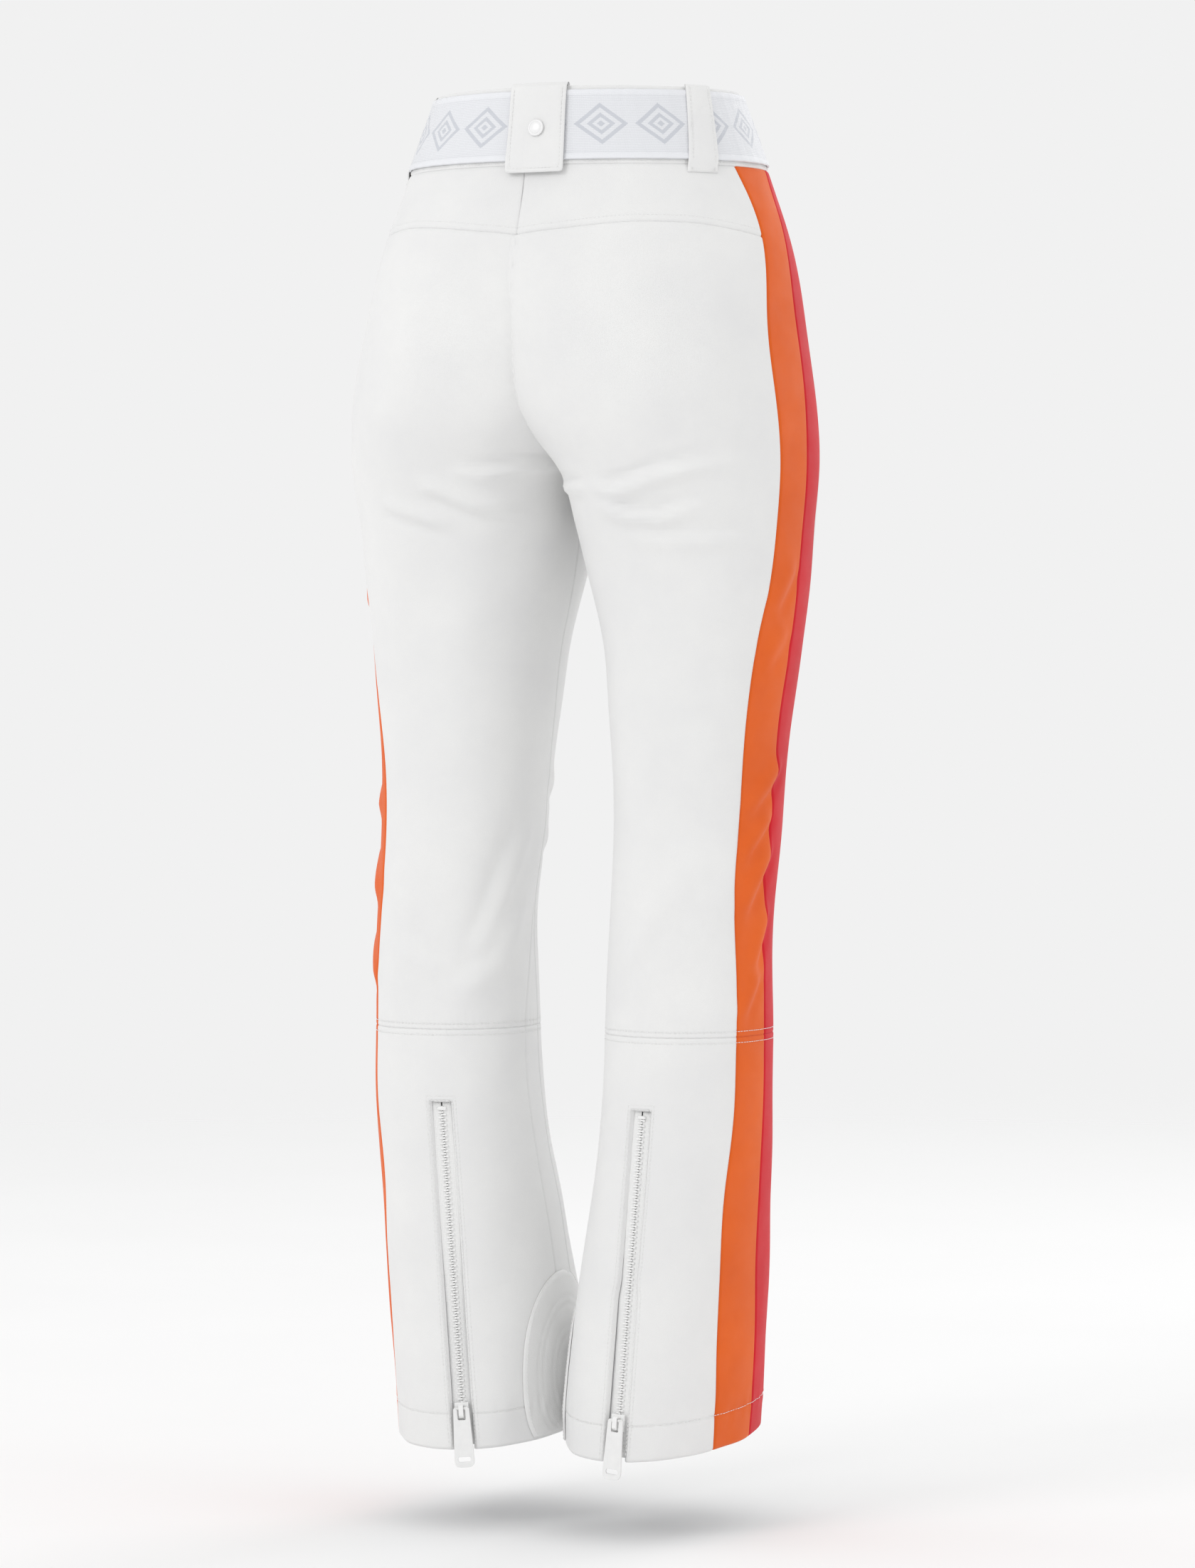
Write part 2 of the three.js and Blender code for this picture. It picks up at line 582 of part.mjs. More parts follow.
// The waistband sits a little turned on the body, so the left side loop lies further forward.
const SIDE_LOOPS = {
  left: { bottomPhi: 13, topPhi: 9, width: 27 },
  right: { bottomPhi: 30, topPhi: 23.5, width: 27 },
};
const FRONT_LOOP = { bottomPhi: -48, topPhi: -48, width: 14 };

/** Elastic belt in one length from clasp end to clasp end, round the back. */
function belt() {
  const end = 10.5;
  const solid = sheet(range(1, BELT_TOP, BELT_BOTTOM), range(44, -90 + end, 270 - end), (z, phi, layer) => (
    waistPoint(phi, z, layer ? BELT_FACE : BELT_INSIDE)
  ));
  return piece("belt_elastic", solid, elasticSilver);
}

const TAB_HALF = 24;
const TAB_TOP = 0.8;
const TAB_BOTTOM = -67;
const TAB_INSIDE = 4.1;
const TAB_THICK = 1.6;
const TAB_PHI = 94;             // the flap is pulled a little towards the wearer's right
const SNAP_Z = -33;
const CLASP_Z = -30;

/** Flap at the centre back that closes over the belt; it folds up about its top edge. */
function centreBackTab() {
  const half = (z) => degrees(TAB_HALF / lerp(130, 150, z / BAND_BOTTOM));
  const solid = sheet(range(5, TAB_TOP, TAB_BOTTOM), range(6, -1, 1), (z, v, layer) => (
    waistPoint(TAB_PHI + v * half(z), z, TAB_INSIDE + (layer ? TAB_THICK : 0))
  ));
  return piece("centre_back_tab", solid, shellWhite);
}

/** Group whose z axis points out of the waist at angle phi and height z, `offset` off the face. */
function waistGroup(phi, z, offset) {
  const place = (lift) => waistPoint(phi - 0.01, z, lift).lerp(waistPoint(phi + 0.01, z, lift), 0.5);
  const origin = place(offset);
  const out = place(offset + 10).sub(origin).normalize();
  const up = new THREE.Vector3(0, 0, 1);
  const x = up.clone().cross(out).normalize();
  const group = new THREE.Group();
  group.applyMatrix4(new THREE.Matrix4().makeBasis(x, out.clone().cross(x), out).setPosition(origin));
  return group;
}

/** Snap of the centre back tab: the cap shows outside, the stud is riveted to the belt below it. */
function tabSnap() {
  const capGroup = waistGroup(TAB_PHI, SNAP_Z, TAB_INSIDE + TAB_THICK + 0.6);
  capGroup.add(piece("tab_snap_cap", turned([
    [0, 0], [6.25, 0], [6.25, 0.7], [5.2, 1.5], [4.2, 1.6], [3.6, 1.2], [0, 1.2],
  ]), snapMetal));
  const studGroup = waistGroup(TAB_PHI, SNAP_Z, BELT_FACE + 0.65);
  studGroup.add(piece("tab_snap_stud", turned([
    [0, 0], [5, 0], [5, 0.4], [2.2, 0.4], [2.2, 0.9], [0, 0.9],
  ]), snapMetal));
  return [capGroup, studGroup];
}

/** Cap of the snap that holds the two ends of the waistband together behind the clasp. */
function waistSnap() {
  const group = waistGroup(-90 + 4.2, CLASP_Z, 0.3);
  group.add(piece("waist_snap_cap", turned([[0, 0], [6, 0], [6, 0.6], [5, 1.3], [0, 1.3]]), snapMetal));
  return group;
}

/** Facing behind the waistband's ends and the fly zip. */
function flyUnderlap() {
  const rows = [
    { z: -1, depth: 5.2 }, { z: -30, depth: 5.2 }, { z: -56, depth: 5.8 }, { z: -70, depth: 9.6 },
    { z: -110, depth: 11 }, { z: -150, depth: 11.6 }, { z: -185, depth: 11.6 }, { z: -220, depth: 10 },
  ];
  const turn = 9;
  const solid = sheet(rows, range(6, -90 - turn, -90 + turn), (row, phi, layer) => (
    waistPoint(phi, row.z, -row.depth - (layer ? 0 : 1.4))
  ));
  return piece("fly_underlap", solid, liningGrey);
}

const CLASP = {
  width: 50, height: 46, plate: 1.6, lug: 4, pinX: -21.5, pinHeight: 4.4, pinRadius: 1.2, barrel: 2.4,
};

const cylinderAlongY = (radius, length, x, z, sides = 12) => (
  new THREE.CylinderGeometry(radius, radius, length, sides).translate(x, 0, z)
);

/** Flip clasp: a base plate on the belt's end, a lever over the other end, and the pin between them. */
function clasp() {
  const group = waistGroup(-90, CLASP_Z, BELT_FACE + 0.5);
  const c = CLASP;
  const lugOuter = c.height / 2;
  const hole = () => cylinderAlongY(c.pinRadius + GAP, c.height + 4, c.pinX, c.pinHeight);
  let base = plate(roundedRectangle(c.width, c.height, 4), 0, c.plate);
  for (const end of [-1, 1]) {
    const lug = new THREE.BoxGeometry(6, c.lug, c.pinHeight + 2.6);
    lug.translate(c.pinX, end * (lugOuter - c.lug / 2), (c.pinHeight + 2.6) / 2);
    base = joined(base, lug);
  }
  base = cut(base, hole());
  const leverHeight = c.height - 2 * c.lug - 2 * GAP;
  const reach = c.width / 2 - 1.5 - c.pinX;
  let lever = plate(roundedRectangle(reach, leverHeight, 4), c.pinHeight - 0.8, c.pinHeight + c.plate);
  lever.translate(c.pinX + reach / 2, 0, 0);
  lever = joined(lever, cylinderAlongY(c.barrel, leverHeight, c.pinX, c.pinHeight));
  lever = cut(lever, hole());
  group.add(
    piece("clasp_base", base, claspMetal),
    piece("clasp_pin", cylinderAlongY(c.pinRadius, c.height, c.pinX, c.pinHeight), claspMetal),
    piece("clasp_lever", lever, claspMetal),
  );
  return group;
}

// ---------------------------------------------------------------- fly zip

const FLY_ZIP = { bottomZ: -214, topZ: -63, depth: 4.6, sag: 0.4, slider: 136 };

function fly() {
  const place = (z) => waistPoint(-90, z, 0);
  const front = new THREE.Vector3(0, -1, 0);
  const zip = zipFrame(place(FLY_ZIP.bottomZ), place(FLY_ZIP.topZ), front, FLY_ZIP.depth);
  zip.frame.add(piece("fly_zip_chain", closedChain(zip.length, FLY_ZIP.sag), zipTape));
  sliderAndPull(zip.frame, FLY_ZIP.slider, "fly_zip", SMALL_PULL);
  return zip.frame;
}

// ---------------------------------------------------------------- assembly

/** Everything of one side, modelled as the wearer's left. */
function sideOfPants(side) {
  const group = new THREE.Group();
  const hemZip = zipOnFace(HEM_ZIPS[side]);
  const pocketZip = zipOnFace(POCKET_ZIP);
  hemZip.frame.add(
    piece(`${side}_hem_zip_outer_stringer`, stringer(-1, hemZip.length, HEM_ZIP.sag), zipTape),
    piece(`${side}_hem_zip_inner_stringer`, stringer(1, hemZip.length, HEM_ZIP.sag), zipTape),
  );
  sliderAndPull(hemZip.frame, HEM_ZIP.slider, `${side}_hem_zip`, HEM_PULL);
  pocketZip.frame.add(
    piece(`${side}_pocket_zip_chain`, closedChain(pocketZip.length, POCKET_ZIP.sag), zipTape),
  );
  sliderAndPull(pocketZip.frame, POCKET_ZIP.slider, `${side}_pocket_zip`, SMALL_PULL);
  group.add(
    waistband(side),
    ...shellPanels(side, hemZip, pocketZip),
    scuffGuard(side),
    ...gaiter(side),
    zipGusset(side),
    pocketBag(side),
    piece(`${side}_side_belt_loop`, beltLoop(SIDE_LOOPS[side]), shellWhite),
    piece(`${side}_front_belt_loop`, beltLoop(FRONT_LOOP), shellWhite),
    hemZip.frame,
    pocketZip.frame,
  );
  return group;
}

const pants = new THREE.Group();
const leftSide = sideOfPants("left");
const rightSide = sideOfPants("right");
rightSide.scale.x = -1;
pants.add(
  leftSide,
  rightSide,
  belt(),
  centreBackTab(),
  ...tabSnap(),
  clasp(),
  waistSnap(),
  flyUnderlap(),
  fly(),
);

export default pants;
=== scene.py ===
import json
import math
import bpy
import numpy as np
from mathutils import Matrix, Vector

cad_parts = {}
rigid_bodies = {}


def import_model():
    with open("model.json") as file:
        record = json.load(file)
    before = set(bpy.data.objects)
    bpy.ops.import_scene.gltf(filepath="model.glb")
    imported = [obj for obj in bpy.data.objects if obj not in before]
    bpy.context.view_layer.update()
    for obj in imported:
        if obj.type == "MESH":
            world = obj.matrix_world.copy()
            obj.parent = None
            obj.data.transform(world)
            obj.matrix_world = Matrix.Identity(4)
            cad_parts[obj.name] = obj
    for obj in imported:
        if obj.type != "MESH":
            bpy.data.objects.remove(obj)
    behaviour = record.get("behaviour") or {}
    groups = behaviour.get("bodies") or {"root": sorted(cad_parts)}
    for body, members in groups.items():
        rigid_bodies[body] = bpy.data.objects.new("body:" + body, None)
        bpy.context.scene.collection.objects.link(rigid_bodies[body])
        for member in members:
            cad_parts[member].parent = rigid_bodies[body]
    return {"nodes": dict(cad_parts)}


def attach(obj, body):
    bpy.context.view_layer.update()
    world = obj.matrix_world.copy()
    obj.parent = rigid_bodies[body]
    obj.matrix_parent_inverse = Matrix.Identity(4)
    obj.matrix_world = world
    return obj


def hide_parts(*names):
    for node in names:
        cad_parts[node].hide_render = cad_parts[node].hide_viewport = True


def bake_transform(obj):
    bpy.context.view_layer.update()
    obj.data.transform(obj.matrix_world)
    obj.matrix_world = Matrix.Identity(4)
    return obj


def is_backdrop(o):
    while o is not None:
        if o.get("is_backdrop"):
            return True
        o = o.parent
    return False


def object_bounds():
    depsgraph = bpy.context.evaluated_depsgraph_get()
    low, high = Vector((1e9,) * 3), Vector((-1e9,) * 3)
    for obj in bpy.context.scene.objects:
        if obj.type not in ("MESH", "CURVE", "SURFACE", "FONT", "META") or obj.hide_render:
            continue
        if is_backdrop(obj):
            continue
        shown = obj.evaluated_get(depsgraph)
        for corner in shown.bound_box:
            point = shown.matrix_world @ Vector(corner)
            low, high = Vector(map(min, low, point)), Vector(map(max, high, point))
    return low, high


for leftover in list(bpy.data.objects):
    bpy.data.objects.remove(leftover)
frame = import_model()
cad_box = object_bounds()

# The camera stands behind the wearer's right hip, a little above the knees, four and a half metres away.
# It uses a long lens, so the legs stay nearly parallel.
AIM = Vector((0, 0, -0.531))
AZIMUTH, ELEVATION, DISTANCE = math.radians(207), math.radians(1.9), 4.5
camera = bpy.data.objects.new("camera", bpy.data.cameras.new("camera"))
camera.location = AIM + DISTANCE * Vector((
    math.sin(AZIMUTH) * math.cos(ELEVATION), -math.cos(AZIMUTH) * math.cos(ELEVATION), math.sin(ELEVATION)))
camera.rotation_euler = (AIM - camera.location).to_track_quat("-Z", "Y").to_euler()
camera.data.lens = 133.35
camera.data.sensor_width = 36
camera.data.shift_x = 0.0059
bpy.context.scene.collection.objects.link(camera)
bpy.context.scene.camera = camera

# The trousers hang just above a pale studio floor that fades out into an even white surround.
# Soft square lamps stand round them: a large one high behind, one on each side and one in front.
FLOOR_Z = -1.1
floor_mesh = bpy.data.meshes.new("studio_floor")
floor_mesh.from_pydata([(-30, -30, FLOOR_Z), (30, -30, FLOOR_Z), (30, 30, FLOOR_Z), (-30, 30, FLOOR_Z)], [],
                       [(0, 1, 2, 3)])
floor = bpy.data.objects.new("studio_floor", floor_mesh)
bpy.context.scene.collection.objects.link(floor)
floor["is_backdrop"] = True


class Recipe:
    """Node tree of one material, built up a node at a time."""

    def __init__(self, name, colour, roughness, **sockets):
        self.material = bpy.data.materials.new(name)
        self.material.use_nodes = True
        self.tree = self.material.node_tree
        self.surface = self.tree.nodes["Principled BSDF"]
        self.set("Base Color", (*colour, 1))
        self.set("Roughness", roughness)
        for socket, value in sockets.items():
            self.set(socket.replace("_", " "), value)

    def set(self, socket, value):
        self.surface.inputs[socket].default_value = value

    def node(self, kind, values=(), **options):
        """A node with its options, and with numbers or other nodes' outputs on its inputs."""
        node = self.tree.nodes.new(kind)
        for option, value in options.items():
            setattr(node, option, value)
        for index, value in dict(values).items():
            if isinstance(value, bpy.types.NodeSocket):
                self.tree.links.new(value, node.inputs[index])
            else:
                node.inputs[index].default_value = value
        return node

    def sum(self, operation, a, b=0.0, c=0.0):
        """Result of one sum on numbers or outputs."""
        return self.node("ShaderNodeMath", {0: a, 1: b, 2: c}, operation=operation).outputs[0]

    def place(self):
        """Place on the object, in metres."""
        return self.node("ShaderNodeTexCoord").outputs["Object"]

    def cloth(self):
        """Distances along and up the cloth, in metres, from its own map."""
        on_map = self.node("ShaderNodeUVMap", uv_map="Cloth").outputs[0]
        return self.node("ShaderNodeSeparateXYZ", {0: on_map}).outputs[:2]

    def rows(self, distance, pitch):
        """Even waves from -1 to 1, `pitch` metres apart."""
        return self.sum("SINE", self.sum("MULTIPLY", distance, 2 * math.pi / pitch))

    def noise(self, where, scale, detail=2.0, roughness=0.5):
        return self.node("ShaderNodeTexNoise", {"Vector": where, "Scale": scale, "Detail": detail,
                                                "Roughness": roughness}).outputs[0]

    def spread(self, value, low, high, to_low=0.0, to_high=1.0):
        return self.node("ShaderNodeMapRange", {0: value, 1: low, 2: high, 3: to_low, 4: to_high}).outputs[0]

    def blend(self, share, a, b):
        """Colour between a and b."""
        a, b = ((*c, 1) if isinstance(c, tuple) else c for c in (a, b))
        return self.node("ShaderNodeMix", {0: share, 6: a, 7: b}, data_type="RGBA").outputs[2]

    def colour(self, share, a, b):
        self.tree.links.new(self.blend(share, a, b), self.surface.inputs["Base Color"])

    def roughness(self, field, low, high):
        """Roughness from low to high over the middle of a noise field."""
        self.tree.links.new(self.spread(field, 0.3, 0.7, low, high), self.surface.inputs["Roughness"])

    def relief(self, height, depth, strength=1.0):
        """Bump of a height field from 0 to 1, `depth` metres deep."""
        bump = self.node("ShaderNodeBump", {"Height": height, "Distance": depth, "Strength": strength})
        self.tree.links.new(bump.outputs[0], self.surface.inputs["Normal"])


floor_finish = Recipe("studio_floor", (0.9, 0.9, 0.9), 0.9)
grain = floor_finish.place()
floor_finish.colour(floor_finish.noise(grain, 3, 3), (0.88, 0.88, 0.88), (0.91, 0.91, 0.91))
floor_finish.relief(floor_finish.noise(grain, 300), 0.0002, 0.3)
from_middle = floor_finish.node("ShaderNodeVectorMath", {0: grain}, operation="LENGTH").outputs["Value"]
fade = floor_finish.node("ShaderNodeMapRange", {0: from_middle, 1: 1.6, 2: 4.6, 3: 1, 4: 0},
                         interpolation_type="SMOOTHSTEP").outputs[0]
floor_finish.tree.links.new(fade, floor_finish.surface.inputs["Alpha"])
floor_mesh.materials.append(floor_finish.material)

for name, place, size, power in (
        ("back_lamp", (1.2, 3.4, 1.7), 1.6, 32), ("right_lamp", (-3.6, 0.4, 0.1), 1.8, 9),
        ("left_lamp", (3.6, 0.2, 0.3), 1.8, 8), ("front_lamp", (-0.8, -3.4, 1.5), 1.8, 26)):
    lamp = bpy.data.objects.new(name, bpy.data.lights.new(name, "AREA"))
    lamp.data.size = size
    lamp.data.energy = power
    lamp.location = place
    lamp.rotation_euler = (Vector((0, 0, -0.5)) - lamp.location).to_track_quat("-Z", "Y").to_euler()
    bpy.context.scene.collection.objects.link(lamp)
bpy.context.scene.view_settings.view_transform = "Standard"
studio = bpy.data.worlds.new("studio")
studio.use_nodes = True
studio.node_tree.nodes["Background"].inputs[0].default_value = (1, 1, 1, 1)
studio.node_tree.nodes["Background"].inputs[1].default_value = 0.88
bpy.context.scene.world = studio

# ------------------------------------------------------------------ the cut of the trousers
# The trousers are cut slim to the knee and flared below it from three-layer softshell.
# Each row is a level cut through one leg: its height and outer, middle, inner, back and front sizes in mm.
LEVELS = (
    (0, 121, 0, 121, 96, -97, 0, 2, 2), (-60, 144, 16, 108, 106, -106, 0, 2.2, 2.3),
    (-110, 162, 34, 87, 120, -110.5, 0, 2.5, 2.8), (-180, 174.5, 56, 67, 136, -116, 1, 2.6, 3.2),
    (-240, 182, 77, 43, 138, -117, 2, 2.5, 3.2), (-290, 184, 94, 0, 122, -110, 3, 2.3, 2.6),
    (-330, 182, 97, -8, 108, -103, 2, 2.2, 2.3), (-370, 180, 99, -16, 98, -95, 3, 2.1, 2.2),
    (-424, 173.5, 100.5, -28, 90, -84, 5, 2.1, 2.1), (-480, 167.5, 100.5, -34, 86, -75, 8, 2.1, 2.1),
    (-560, 164, 100.5, -39, 84, -61, 14, 2.1, 2.1), (-620, 162.5, 102, -41, 90, -46, 25, 2.1, 2.1),
    (-720, 162.5, 101, -38, 96, -42, 29, 2.1, 2.1), (-810, 159.5, 96, -32, 99, -53, 24, 2.1, 2.1),
    (-870, 155, 90.5, -23, 101.8, -62, 20, 2.1, 2.1), (-948, 149, 80, -10, 106, -72, 18, 2.1, 2.1),
    (-1000, 145, 76, -5, 108.5, -78, 16, 2.1, 2.1), (-1040, 140, 74, -5, 110, -83, 14, 2.1, 2.1))
CROTCH = -290
MM = 0.001
SIDES = {"left": 1, "right": -1}


def flow(rows, place):
    """Smooth values at each place, from rows whose first number runs downwards."""
    rows = np.asarray(rows, float)[::-1]
    at, value = rows[:, 0], rows[:, 1:]
    gap = np.diff(at)
    rise = np.diff(value, axis=0) / gap[:, None]
    middle = (rise[:-1] * gap[1:, None] + rise[1:] * gap[:-1, None]) / (gap[1:] + gap[:-1])[:, None]
    slope = np.vstack([rise[:1], middle, rise[-1:]])
    place = np.clip(np.asarray(place, float), at[0], at[-1])
    i = np.clip(np.searchsorted(at, place, side="right") - 1, 0, len(at) - 2)
    h = gap[i][..., None]
    u = ((place - at[i]) / gap[i])[..., None]
    return ((2 * u**3 - 3 * u**2 + 1) * value[i] + (u**3 - 2 * u**2 + u) * h * slope[i]
            + (3 * u**2 - 2 * u**3) * value[i + 1] + (u**3 - u**2) * h * slope[i + 1])


def flow1(rows, place):
    return flow(rows, place)[..., 0]


def step_up(value, low, high):
    """0 below low, 1 above high, smooth in between."""
    u = np.clip((value - low) / (high - low), 0, 1)
    return u * u * (3 - 2 * u)


def face_point(turn, z):
    """The left half's outer face in metres. Turn 0 is the outer side, 90 behind, 180 inside, -90 in front."""
    turn, z = np.broadcast_arrays(np.radians(turn), np.asarray(z, float))
    out, middle, reach, back, front, centre, full_back, full_front = np.moveaxis(flow(LEVELS, z), -1, 0)
    c, s = np.cos(turn), np.sin(turn)
    power = 2 / np.where(c >= 0, 2.0, np.where(s >= 0, full_back, full_front))
    across = np.where(c >= 0, out - middle, middle + reach)
    deep = np.where(s >= 0, back - centre, centre - front)
    return np.stack([middle + across * np.sign(c) * np.abs(c)**power,
                     centre + deep * np.sign(s) * np.abs(s)**power, z], -1) * MM


def face_normal(turn, z):
    round_leg = face_point(turn + 0.5, z) - face_point(turn - 0.5, z)
    down = face_point(turn, z - 1) - face_point(turn, z + 1)
    n = np.cross(down, round_leg)
    return n / np.linalg.norm(n, axis=-1, keepdims=True)


def centre_turn(z, back):
    """Turn at which a half meets the other half, or the inseam below the crotch."""
    level = flow(LEVELS, z)
    middle, reach, full = level[..., 1], level[..., 2], level[..., 6 if back else 7]
    share = np.where(reach > 0, np.clip(middle / np.maximum(middle + reach, 1e-6), 0, 1), 1)
    turn = np.where(reach > 0, 180 - np.degrees(np.arccos(share**(full / 2))), 180.0)
    return turn if back else -turn


# ------------------------------------------------------------------ how the cloth lies
# Worn softshell doesn't lie flat: it drags into folds under the seat and across the back of the knee,
# it buckles a little down the outer seam, and every stitched row puckers it.
FOLDS = {
    "right": (
        ([(118, -302), (100, -309), (88, -303), (75, -296), (59, -290), (30, -284)], 4.8, 6.5),
        ([(116, -317), (104, -321), (94, -327), (79, -329), (69, -324), (48, -314)], 4.2, 6),
        ([(103, -339), (81, -346), (56, -345), (20, -342)], 2.1, 6.5),
        ([(150, -300), (128, -305), (112, -303)], 3.6, 5),
        ([(85, -611), (121, -672)], 1.8, 12), ([(52, -569), (100, -633)], 1.4, 14),
        ([(-9, -505), (31, -551)], 3.5, 7), ([(2, -545), (30, -584)], 3.2, 6),
        ([(-4, -568), (29, -630)], 4.0, 7), ([(-8, -615), (18, -672)], 3.2, 7),
        ([(2, -664), (27, -707)], 2.4, 6), ([(2, -355), (21, -398)], 2.6, 8),
        ([(4, -405), (24, -440)], 2.1, 9)),
    "left": (
        ([(172, -281), (154, -286), (141, -288), (123, -294), (104, -290)], 3.9, 6),
        ([(92, -299), (104, -305), (120, -315), (152, -321)], 4.5, 6.5),
        ([(70, -311), (90, -322), (114, -334)], 3.4, 6),
        ([(180, -548), (165, -590), (151, -638), (126, -690)], 3.1, 11),
        ([(190, -600), (152, -671), (112, -696)], 2.9, 10), ([(112, -678), (72, -653)], 2.2, 9),
        ([(60, -585), (96, -640)], 1.4, 13),
        ([(2, -520), (36, -558)], 2.9, 7), ([(6, -570), (40, -626)], 3.4, 7),
        ([(8, -640), (44, -690)], 2.6, 7), ([(10, -360), (28, -400)], 2.2, 8))}
FRONT_FOLDS = (
    ([(-118, -246), (-96, -226), (-72, -214)], 1.6, 7), ([(-152, -284), (-118, -272), (-84, -262)], 2.3, 6),
    ([(-160, -306), (-124, -304), (-90, -300)], 2.2, 7), ([(-150, -334), (-112, -342), (-70, -340)], 1.5, 8),
    ([(-172, -520), (-130, -536), (-84, -540)], 1.7, 9), ([(-168, -566), (-120, -584), (-64, -572)], 1.9, 9),
    ([(-150, -622), (-100, -612), (-52, -598)], 1.5, 9), ([(-146, -668), (-110, -684), (-70, -688)], 1.3, 10),
    ([(-150, -930), (-110, -958), (-72, -962)], 1.5, 12), ([(-60, -880), (-36, -930)], 1.2, 12))
WAVES = np.random.default_rng(11).normal(size=(10, 3))
WAVE_START = np.random.default_rng(12).uniform(0, 6.28, 10)


def unit(v):
    return v / np.linalg.norm(v, axis=-1, keepdims=True)


def fold_lines(side):
    """Each fold as points on the face, its height and its half width in mm."""
    for trace, height, width in FOLDS[side] + FRONT_FOLDS:
        trace = np.array(trace, float)
        share = np.linspace(0, len(trace) - 1, 5 * (len(trace) - 1) + 1)
        turn = np.interp(share, range(len(trace)), trace[:, 0])
        z = np.interp(share, range(len(trace)), trace[:, 1])
        yield face_point(turn, z) / MM, height, width


FOLD_LINES = {side: list(fold_lines(side)) for side in SIDES}


def fold_relief(side, p, n):
    """Height in mm of the folds at points p (mm) with normals n. Each has a soft ridge and a sharper hollow."""
    relief = np.zeros(len(p))
    for line, height, width in FOLD_LINES[side]:
        near = np.flatnonzero(((p > line.min(0) - 4 * width) & (p < line.max(0) + 4 * width)).all(1))
        if not len(near):
            continue
        q, best, ridge = p[near], np.full(len(near), 1e9), np.zeros(len(near))
        for k in range(len(line) - 1):
            along = line[k + 1] - line[k]
            share = np.clip((q - line[k]) @ along / (along @ along), 0, 1)
            away = q - line[k] - share[:, None] * along
            far = np.linalg.norm(away, axis=1)
            side_of = np.sign((np.cross(along, n[near]) * away).sum(1))
            d = far * side_of / width
            whole = (k + share) / (len(line) - 1)
            ends = step_up(whole, 0, 0.3) * step_up(1 - whole, 0, 0.3)
            shape = (np.exp(-d * d) - 0.6 * np.exp(-((d - 1.5) / 0.75)**2)) * ends
            closer = far < best
            ridge[closer], best[closer] = shape[closer], far[closer]
        relief[near] += height * ridge
    return relief


def on_line(p, start, end):
    """How far points p (mm) lie to each side of a straight line, and how far along it."""
    along = (end - start) / np.linalg.norm(end - start)
    run = (p - start) @ along
    return np.linalg.norm(p - start - run[:, None] * along, axis=1), run


# The zips' ends: turn and height at the bottom and at the top, how deep the chain lies, and how far the
# tape's edges bend round the leg.
ZIPS = {
    "left_hem_zip": (107, -1036, 107, -774, 4.4, 1.9), "right_hem_zip": (87, -1036, 94, -774, 4.4, 1.9),
    "left_pocket_zip": (-36, -254, -38, -124, 4.6, 1.1), "right_pocket_zip": (-36, -254, -38, -124, 4.6, 1.1)}
ZIP_LINES = {name: (face_point(t0, z0) / MM, face_point(t1, z1) / MM)
             for name, (t0, z0, t1, z1, *_) in ZIPS.items()}


def hem_height(turn):
    return -1030 - 9 * np.sin(np.radians(turn))


def drape(side, p, n, turn, z):
    """Height in mm of the worn cloth over its cut shape at points p (metres)."""
    p = p / MM
    relief = fold_relief(side, p, n)
    swing = p * (0.055 if side == "left" else 0.05)
    relief += 0.28 * np.sin(swing @ WAVES.T + WAVE_START + (2 if side == "left" else 0)).sum(1) * 0.8
    hem_row = hem_height(turn) + 27
    ripple = np.sin(turn * 0.62 + 1.7 * np.sin(turn * 0.11)) + 0.6 * np.sin(turn * 1.13 + 0.4)
    relief += 0.34 * ripple * np.exp(-((z - hem_row) / 9)**2)
    relief += 0.22 * np.sin(turn * 1.31 + np.sin(turn * 0.17)) * np.exp(-((z + 718) / 8)**2)
    relief += 0.5 * np.sin(turn * 0.21 + 1.1) * step_up(-z, 1004, 1036)
    for half in ("hem_zip", "pocket_zip"):
        away, run = on_line(p, *ZIP_LINES[f"{side}_{half}"])
        beside = 1 - step_up(run, -20, -10) + step_up(run, 280 if half == "hem_zip" else 138, 300)
        relief *= np.clip(step_up(away, 10, 30) + np.minimum(beside, 1), 0, 1)
    beside_fly = np.where(p[:, 1] < 0, step_up(z, -250, -222) * (1 - step_up(p[:, 0], 10, 26)), 0)
    return relief * (1 - beside_fly) * step_up(-z, 60, 84)


def on_cloth(side, turn, z, lift=0.0):
    """Points on the worn cloth's outer face, raised by lift (mm), and the face's normals, both in place."""
    turn, z = (np.array(a, float) for a in np.broadcast_arrays(turn, z))
    p, n = face_point(turn, z), face_normal(turn, z)
    flat = drape(side, p.reshape(-1, 3), n.reshape(-1, 3), turn.ravel(), z.ravel()).reshape(turn.shape)
    p = p + n * ((flat + lift) * MM)[..., None]
    flip = np.array([SIDES[side], 1, 1])
    return p * flip, n * flip


# ------------------------------------------------------------------ shell panels
# The shell is matt white softshell with a fine twill face, bonded to a smooth grey knitted back.
# Each panel is cut to its seams, and its edges roll down into the seam where it is sewn to the next.
EDGE = np.array([0, 0.4, 0.95, 1.8, 3.0])


def twill(recipe, pitch):
    """Height of a fine diagonal weave, `pitch` metres from rib to rib, on the cloth's own map."""
    across, up = recipe.cloth()
    ribs = recipe.rows(recipe.sum("ADD", across, up), pitch)
    yarn = recipe.rows(recipe.sum("SUBTRACT", across, up), 0.4 * pitch)
    return recipe.sum("MULTIPLY_ADD", yarn, 0.2, recipe.sum("MULTIPLY_ADD", ribs, 0.3, 0.5))


